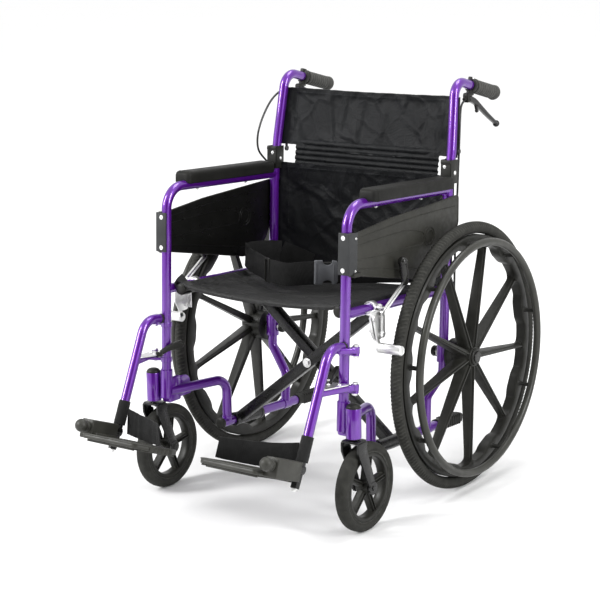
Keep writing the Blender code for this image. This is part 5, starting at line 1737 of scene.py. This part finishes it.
def seat_place(s, v):
    """A point of the seat: s counts across from the middle in metres, v back from the front edge."""
    side = 1 if s >= 0 else -1
    over = abs(s) - SEAT_TUBE_X
    nose = 0.0046
    lift, forward = 0.0, v
    if v < 0:
        turn = min(1.0, -v / 0.012)
        forward = -nose * math.sin(math.pi * turn) * 0.8
        lift = -nose * (1 - math.cos(math.pi * turn))
        if v < -0.012:
            forward = -v - 0.012
            lift = -2 * nose + (forward / 0.022) * nose
    y = SEAT_FRONT + 0.0040 + forward
    if over <= 0:
        share = s / SEAT_TUBE_X
        z = SEAT_TUBE_Z + SLEEVE - SEAT_SAG * (1 - share * share)
        return up(s, y, z + lift * min(1.0, -over / 0.02))
    angle = over / SLEEVE
    corner = max(0.0, 1 - v / 0.020) * math.exp(-(((angle - 0.75) / 0.30) ** 2)) * (0.012 if side < 0 else 0.006)
    radius = SLEEVE + corner
    return up(side * (SEAT_TUBE_X + radius * math.sin(angle)), y, SEAT_TUBE_Z + radius * math.cos(angle))


def seat():
    reach = SEAT_TUBE_X + SLEEVE * math.radians(235)
    columns = spread(-reach, reach, 0.0056)
    backs = spread(-0.034, 0, 0.0034) + with_lines(spread(0.004, SEAT_BACK - SEAT_FRONT - 0.004, 0.0056), [0.020, 0.352])
    random.seed(7)
    rows = []
    for v in backs:
        row = []
        for s in columns:
            place = seat_place(s, v)
            if abs(s) < SEAT_TUBE_X - 0.004 and v > 0.002:
                calm = min(1.0, (SEAT_TUBE_X - abs(s)) / 0.03)
                ripple = 0.0016 * noise.noise(Vector((s * 22.0, v * 30.0, 3.1))) * calm
                place = place + FRAME_Z * ripple
            row.append(place)
        rows.append(row)

    def held(i, j):
        if abs(columns[j]) > SEAT_TUBE_X - 0.002 or backs[i] < 0.0:
            return 1.0
        if backs[i] < 0.016:
            return 0.35
        return 0.0

    rows = settle(rows, held, 0.024, 0.10, 0.0065)
    folds = (
        ((-0.200, 0.040), (-0.060, 0.090), 0.010, 0.0035), ((-0.205, 0.075), (-0.080, 0.135), 0.012, 0.0030),
        ((-0.150, 0.020), (0.010, 0.050), 0.009, 0.0030), ((-0.060, 0.030), (0.130, 0.060), 0.010, 0.0028),
        ((0.060, 0.016), (0.200, 0.050), 0.009, 0.0034), ((0.205, 0.090), (0.090, 0.070), 0.012, 0.0026),
        ((-0.200, 0.160), (-0.110, 0.120), 0.011, 0.0030), ((-0.120, 0.070), (-0.020, 0.150), 0.013, -0.0030),
        ((0.020, 0.090), (0.120, 0.180), 0.014, -0.0026), ((0.200, 0.200), (0.100, 0.240), 0.013, 0.0030),
        ((-0.200, 0.270), (-0.090, 0.240), 0.013, 0.0030), ((-0.030, 0.110), (0.090, 0.130), 0.010, 0.0024),
    )
    for i, v in enumerate(backs):
        for j, s in enumerate(columns):
            if v > 0.010 and abs(s) < SEAT_TUBE_X:
                rise = sum(crease((s, v), a, b, w * 0.75, h * 1.5) for a, b, w, h in folds)
                rows[i][j] = rows[i][j] + FRAME_Z * rise * min(1.0, (SEAT_TUBE_X - abs(s)) / 0.012)

    def thick(i, j):
        size = CLOTH_THICKNESS
        if -0.034 <= backs[i] <= 0.020 or backs[i] >= 0.352:
            size += HEM
        return size

    shape = sheet_shape(rows, thick)
    obj = cloth_piece("seat_cover", None, shape, "seat_nylon")
    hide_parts("seat_sling")
    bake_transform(obj)
    out = grid_normals(rows)
    sewn = []
    for target in (0.0160, 0.3560):
        i = min(range(len(backs)), key=lambda n: abs(backs[n] - target))
        inside = [j for j, s in enumerate(columns) if abs(s) < SEAT_TUBE_X]
        sewn += stitches([rows[i][j] for j in inside], [out[i][j] for j in inside], 0.0015)
    for side in (-1, 1):
        j = min(range(len(columns)), key=lambda n: abs(columns[n] - side * (SEAT_TUBE_X - 0.017)))
        back = [i for i, v in enumerate(backs) if v > 0.004]
        sewn += stitches([rows[i][j] for i in back], [out[i][j] for i in back], 0.0010)
    thread = make("seat_stitches", sewn, PAINT["thread"])
    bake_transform(thread)
    return rows, backs, columns


# ---- back ---------------------------------------------------------------------------------------

LOWER_LOW = 0.450
LOWER_HIGH = 0.707
UPPER_LOW = 0.7480
UPPER_HIGH = 0.8800
BAND_LOW = 0.7000
BAND_HALF = 0.1990
TUBE_SKIN = 0.0124


def behind(s, centre_x, dip):
    """How far out and back a cloth point lies from its tubes' centre line: s counts across from the middle."""
    over = abs(s) - centre_x
    side = 1 if s >= 0 else -1
    if over <= 0:
        share = s / centre_x
        return s, TUBE_SKIN + dip * (1 - share * share)
    angle = over / TUBE_SKIN
    return side * (centre_x + TUBE_SKIN * math.sin(angle)), TUBE_SKIN * math.cos(angle)


def cane_centre(z):
    """Where the cane stands at a height: its x, and its y from the axle."""
    if z < 0.765:
        t = (z - 0.716) / 0.049
        return 0.242, 0.022 + 0.009 * t
    t = (z - 0.765) / 0.1535
    return 0.242 - 0.008 * t, 0.031 + 0.027 * t


def upper_place(s, share):
    """A point of the upper panel, share 0 at its lower edge and 1 at the top."""
    middle = 1 - min(1.0, abs(s) / 0.20) ** 2
    low = UPPER_LOW - 0.0150 * middle
    high = UPPER_HIGH + 0.0010 - 0.0030 * middle
    z = low + (high - low) * share
    x, y = cane_centre(z)
    out, back = behind(s, x, 0.0215)
    return at(out, y + back, z)


def lower_place(s, share):
    z = LOWER_LOW + (LOWER_HIGH - LOWER_LOW) * share
    out, back = behind(s, POST_X, 0.0200 * (1 - 0.85 * share**6))
    return up(out, REAR_POST_Y + back, z)


def back_panel(name, body, place, height, half, folds, old, seed):
    """One panel of the back: cloth between two tubes, with a hem round it and creases."""
    columns = with_lines(spread(-half, half, 0.0048), [-0.2060, 0.2060])
    shares = [v / height for v in with_lines(spread(0.0, height, 0.0048), [0.013, height - 0.013])]
    rows = []
    for share in shares:
        row = []
        for s in columns:
            spot = place(s, share)
            calm = min(1.0, max(0.0, (0.225 - abs(s)) / 0.03))
            spot = spot + Y * 0.0014 * calm * noise.noise(Vector((s * 26.0, share * height * 20.0, seed)))
            row.append(spot)
        rows.append(row)

    def held(i, j):
        if abs(columns[j]) > 0.226:
            return 1.0
        return 0.3 if shares[i] < 0.03 or shares[i] > 0.97 else 0.0

    rows = settle(rows, held, 0.020, 0.02, 0.0055)
    for i, share in enumerate(shares):
        for j, s in enumerate(columns):
            if abs(s) < 0.222:
                rise = sum(crease((s, share * height), a, b, w * 0.7, h * 1.3) for a, b, w, h in folds)
                rows[i][j] = rows[i][j] - Y * rise

    def thick(i, j):
        size = CLOTH_THICKNESS
        v = shares[i] * height
        if v <= 0.013 or v >= height - 0.013 or abs(columns[j]) >= 0.2060:
            size += HEM
        return size

    obj = cloth_piece(name, body, sheet_shape(rows, thick))
    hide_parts(old)
    out = grid_normals(rows)
    sewn = []
    for target in (0.0100, height - 0.0100):
        i = min(range(len(shares)), key=lambda n: abs(shares[n] * height - target))
        inside = [j for j, s in enumerate(columns) if abs(s) < 0.228]
        sewn += stitches([rows[i][j] for j in inside], [-out[i][j] * front_sign(out[i][j]) for j in inside], 0.0015)
    for side in (-1, 1):
        j = min(range(len(columns)), key=lambda n: abs(columns[n] - side * 0.2095))
        column = list(range(len(rows)))
        sewn += stitches([rows[i][j] for i in column], [-out[i][j] * front_sign(out[i][j]) for i in column], 0.0015)
    thread = make(name + "_stitches", sewn, PAINT["thread"])
    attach(thread, body)
    return obj, thread


def front_sign(normal):
    return 1 if normal.y > 0 else -1


def pleated_band():
    """The ribbed strip between the panels, sewn in rows so that the back can fold there."""
    height = 0.062
    columns = spread(-BAND_HALF, BAND_HALF, 0.0050)
    levels = spread(0.0, height, 0.00155)
    rows = []
    for v in levels:
        row = []
        for s in columns:
            z = BAND_LOW + v
            share = s / 0.242
            x, y = cane_centre(max(z, 0.716))
            rib = abs(math.sin(math.pi * v / 0.0124))
            drift = 0.0012 * noise.noise(Vector((s * 14.0, v * 60.0, 5.0)))
            back = TUBE_SKIN + 0.0215 * (1 - share * share) + 0.0025 - 0.0042 * rib**0.7
            sag = -0.0040 * (1 - share * share)
            row.append(at(s, y + back + drift, z + sag))
        rows.append(row)
    shape = sheet_shape(rows, lambda i, j: CLOTH_THICKNESS)
    return cloth_piece("back_pleats", "back_left", shape)


def backrest():
    reach = 0.242 + TUBE_SKIN * math.radians(75)
    upper_folds = (
        ((-0.120, 0.125), (-0.105, 0.020), 0.009, 0.0040), ((-0.075, 0.130), (-0.085, 0.060), 0.007, 0.0036),
        ((-0.060, 0.070), (-0.030, 0.015), 0.007, 0.0036), ((-0.145, 0.030), (-0.060, 0.010), 0.006, 0.0036),
        ((-0.020, 0.130), (-0.030, 0.030), 0.008, -0.0030), ((0.035, 0.125), (0.020, 0.020), 0.010, 0.0028),
        ((0.110, 0.120), (0.150, 0.020), 0.012, 0.0026), ((0.170, 0.110), (0.120, 0.030), 0.010, -0.0024),
        ((-0.175, 0.110), (-0.150, 0.040), 0.010, -0.0030), ((-0.100, 0.050), (-0.010, 0.020), 0.007, 0.0030),
    )
    lower_folds = (
        ((-0.190, 0.210), (-0.090, 0.170), 0.012, 0.0036), ((-0.120, 0.180), (-0.060, 0.100), 0.010, 0.0038),
        ((-0.150, 0.120), (-0.060, 0.060), 0.011, -0.0032), ((-0.060, 0.200), (0.030, 0.130), 0.013, 0.0034),
        ((0.020, 0.210), (0.110, 0.150), 0.012, 0.0032), ((0.060, 0.130), (0.170, 0.090), 0.013, 0.0034),
        ((-0.020, 0.110), (0.060, 0.050), 0.012, -0.0034), ((-0.180, 0.060), (-0.070, 0.020), 0.011, 0.0034),
        ((0.190, 0.200), (0.120, 0.120), 0.012, 0.0030), ((-0.090, 0.140), (-0.030, 0.120), 0.007, 0.0034),
    )
    above = back_panel("back_upper_cover", "back_left", upper_place, 0.142, reach - 0.003, upper_folds, "back_upper", 1.7)
    below = back_panel("back_lower_cover", "frame_left", lower_place, 0.257, reach, lower_folds, "back_lower", 9.3)
    for obj in (*above, pleated_band(), *below):
        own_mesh(obj)


# ---- straps -------------------------------------------------------------------------------------

BELT_WIDTH = 0.053
BELT_THICKNESS = 0.0016
BUCKLE_START = Vector((0.018, -0.204))
BUCKLE_END = Vector((0.057, -0.166))


def seat_height(grid, x, y):
    """How high the seat's cloth lies at a place, in the upright frame's own coordinates."""
    rows, backs, columns = grid
    i = min(range(len(backs)), key=lambda n: abs(SEAT_FRONT + 0.004 + backs[n] - y) if backs[n] >= 0 else 9.0)
    j = min(range(len(columns)), key=lambda n: abs(columns[n] - x))
    return in_frame(rows[i][j])[2]


def webbing_piece(name, line, lean, width, slot):
    """Webbing on edge over (x, y, z) points of the upright frame. lean tips its top edge sideways."""
    route = smooth([Vector(p) for p in line], 8)
    places = [up(*p) for p in route]
    return strap(places, (FRAME_Z + lean).normalized(), width, BELT_THICKNESS)


def belt(grid):
    def resting(points, rise=0.0015):
        return [(x, y, seat_height(grid, x, y) + BELT_WIDTH / 2 + rise + more) for x, y, more in points]

    right = resting([
        (-0.200, -0.032, 0.0), (-0.209, -0.075, 0.0), (-0.218, -0.118, -0.001), (-0.221, -0.138, -0.001),
        (-0.214, -0.153, -0.001), (-0.190, -0.168, 0.0), (-0.130, -0.207, 0.002), (-0.086, -0.237, 0.003),
    ])
    middle = resting([
        (-0.086, -0.2385, 0.003), (-0.062, -0.2450, 0.003), (-0.030, -0.2420, 0.003), (-0.004, -0.2235, 0.004), (0.020, -0.2020, 0.006),
    ])
    left = resting([(0.055, -0.168, 0.006), (0.090, -0.136, 0.005), (0.140, -0.094, 0.003), (0.190, -0.054, 0.0), (0.205, -0.040, 0.002)])
    folded = resting([(-0.199, -0.034, 0.000), (-0.186, -0.020, -0.006), (-0.160, -0.006, -0.014), (-0.135, 0.002, -0.022)])
    level = Vector((0.0, 0.0, 0.0))
    shapes = [webbing_piece("belt", right, level, BELT_WIDTH, "webbing")]
    shapes.append(webbing_piece("belt", middle, level, BELT_WIDTH, "webbing"))
    shapes.append(webbing_piece("belt", left, level, BELT_WIDTH, "webbing"))
    shapes.append(webbing_piece("belt", folded, level, BELT_WIDTH, "webbing"))
    tail = [(x - 0.004, y + 0.0042, z) for x, y, z in right[-3:]]
    shapes.append(webbing_piece("belt", tail, level, BELT_WIDTH, "webbing"))
    obj = make("belt_webbing", shapes, PAINT["webbing"], 50.0)
    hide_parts("lap_belt")
    fold = up(*middle[0])
    slider = [
        box((0.0036, 0.0060, 0.0560), fold + Vector((0.006, -0.0012, 0.0)), None, 0.0012, 3),
        box((0.0036, 0.0060, 0.0560), fold + Vector((-0.010, 0.0060, 0.0)), None, 0.0012, 3),
        beam(fold + Vector((0.006, -0.0012, 0.0265)), fold + Vector((-0.010, 0.0060, 0.0265)), 0.0036, 0.0060, Z, 0.0012),
        beam(fold + Vector((0.006, -0.0012, -0.0265)), fold + Vector((-0.010, 0.0060, -0.0265)), 0.0036, 0.0060, Z, 0.0012),
    ]
    sliding = make("belt_slider", slider, PAINT["black_plastic"])
    clip = buckle(grid)
    for part in (obj, sliding, *clip):
        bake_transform(part)


def buckle(grid):
    """The side-release buckle: a shell with two scooped sides that show the prongs of its other half."""
    middle = (BUCKLE_START + BUCKLE_END) / 2
    centre = up(middle.x, middle.y, seat_height(grid, middle.x, middle.y) + BELT_WIDTH / 2 + 0.0075)
    along = up(BUCKLE_END.x, BUCKLE_END.y, 0.46) - up(BUCKLE_START.x, BUCKLE_START.y, 0.46)
    half = along.length / 2
    along.normalize()
    out = along.cross(FRAME_Z).normalized()
    turn = Matrix((out, along, out.cross(along) * -1)).transposed()
    if turn.determinant() < 0:
        turn = Matrix((out, along, out.cross(along))).transposed()
    matrix = turn.to_4x4()
    matrix.translation = centre
    tall, scoop, where = 0.0272, 0.0100, half * 0.10
    top = []
    for n in range(13):
        angle = math.pi * n / 12
        top.append((where - 0.0115 * math.cos(angle), tall - scoop * math.sin(angle)))
    outline = [(-half, tall - 0.002), (-half + 0.002, tall)] + top + [(half - 0.004, tall - 0.0015), (half, tall - 0.006)]
    outline += [(y, -z) for y, z in reversed(outline)]
    outline = list(reversed(outline))
    shell = placed(slab(outline, -0.0062, 0.0062, 0.0018), matrix)
    ledge = placed(box((0.0140, 0.0050, 0.0470), Vector((0, -half + 0.0040, 0)), None, 0.0016, 3), matrix)
    lip = placed(box((0.0136, 0.0030, 0.0380), Vector((0, half * 0.62, 0)), None, 0.0010, 3), matrix)
    body = make("buckle_shell", [shell, ledge, lip], PAINT["buckle_plastic"])
    shapes = []
    for sign in (-1, 1):
        shapes.append(placed(box((0.0060, 0.0270, 0.0070), Vector((0, where, sign * (tall - 0.0072))), None, 0.0020, 3), matrix))
    shapes.append(placed(box((0.0100, 0.0100, 0.0500), Vector((0, half + 0.0050, 0)), None, 0.0024, 3), matrix))
    prongs = make("buckle_prongs", shapes, PAINT["black_plastic"])
    return body, prongs


def heel_loop():
    """The heel strap: a loop sewn round the hanger's tube, and the band to the plate's inner edge."""
    for side, sign in SIDES:
        line = [
            Vector((0.2345, -0.5560, 0.2050)), Vector((0.1900, -0.5660, 0.2050)),
            Vector((0.1300, -0.5920, 0.2090)), Vector((0.0780, -0.6340, 0.2200)),
        ]
        places = smooth([at(sign * p.x, p.y, p.z) for p in line], 10)
        count = len(places) - 1
        widths, ups = [], []
        for n in range(count + 1):
            t = n / count
            widths.append(0.0600 - 0.0150 * t)
            ups.append((Z + Y * 0.10 * math.sin(math.pi * t) + X * sign * 0.03).normalized())
        for n, place in enumerate(places):
            t = n / count
            ripple = 0.0016 * noise.noise(Vector((n * 0.35, sign * 3.0, 1.0)))
            places[n] = place + Y * ripple - Z * 0.004 * math.sin(math.pi * t)
        shapes = [strap(places, ups, widths, 0.0022)]
        tube = HANGER_BEND.lerp(HANGER_FOOT, 0.925)
        tube = Vector((sign * tube.x, tube.y, tube.z))
        down = Vector((sign * HANGER_DOWN.x, HANGER_DOWN.y, HANGER_DOWN.z))
        profile = [(-0.027, 0.0112), (-0.0265, 0.0128), (-0.013, 0.0131), (0.0, 0.0128), (0.013, 0.0131), (0.0265, 0.0128), (0.027, 0.0112)]
        shapes.append(lathe(tube, down, profile, 32))
        obj = make(f"heel_webbing_{side}", shapes, PAINT["strap_webbing"], 60.0)
        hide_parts(f"heel_strap_{side}")
        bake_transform(obj)


heel_loop()
seat_grid = seat()
belt(seat_grid)
backrest()

for node in frame["nodes"].values():
    if not node.hide_render:
        slot = next(s["material_slot"] for s in frame["record"]["subparts"] if s["node"] == node.name)
        node.data.materials.clear()
        node.data.materials.append(PAINT[slot])
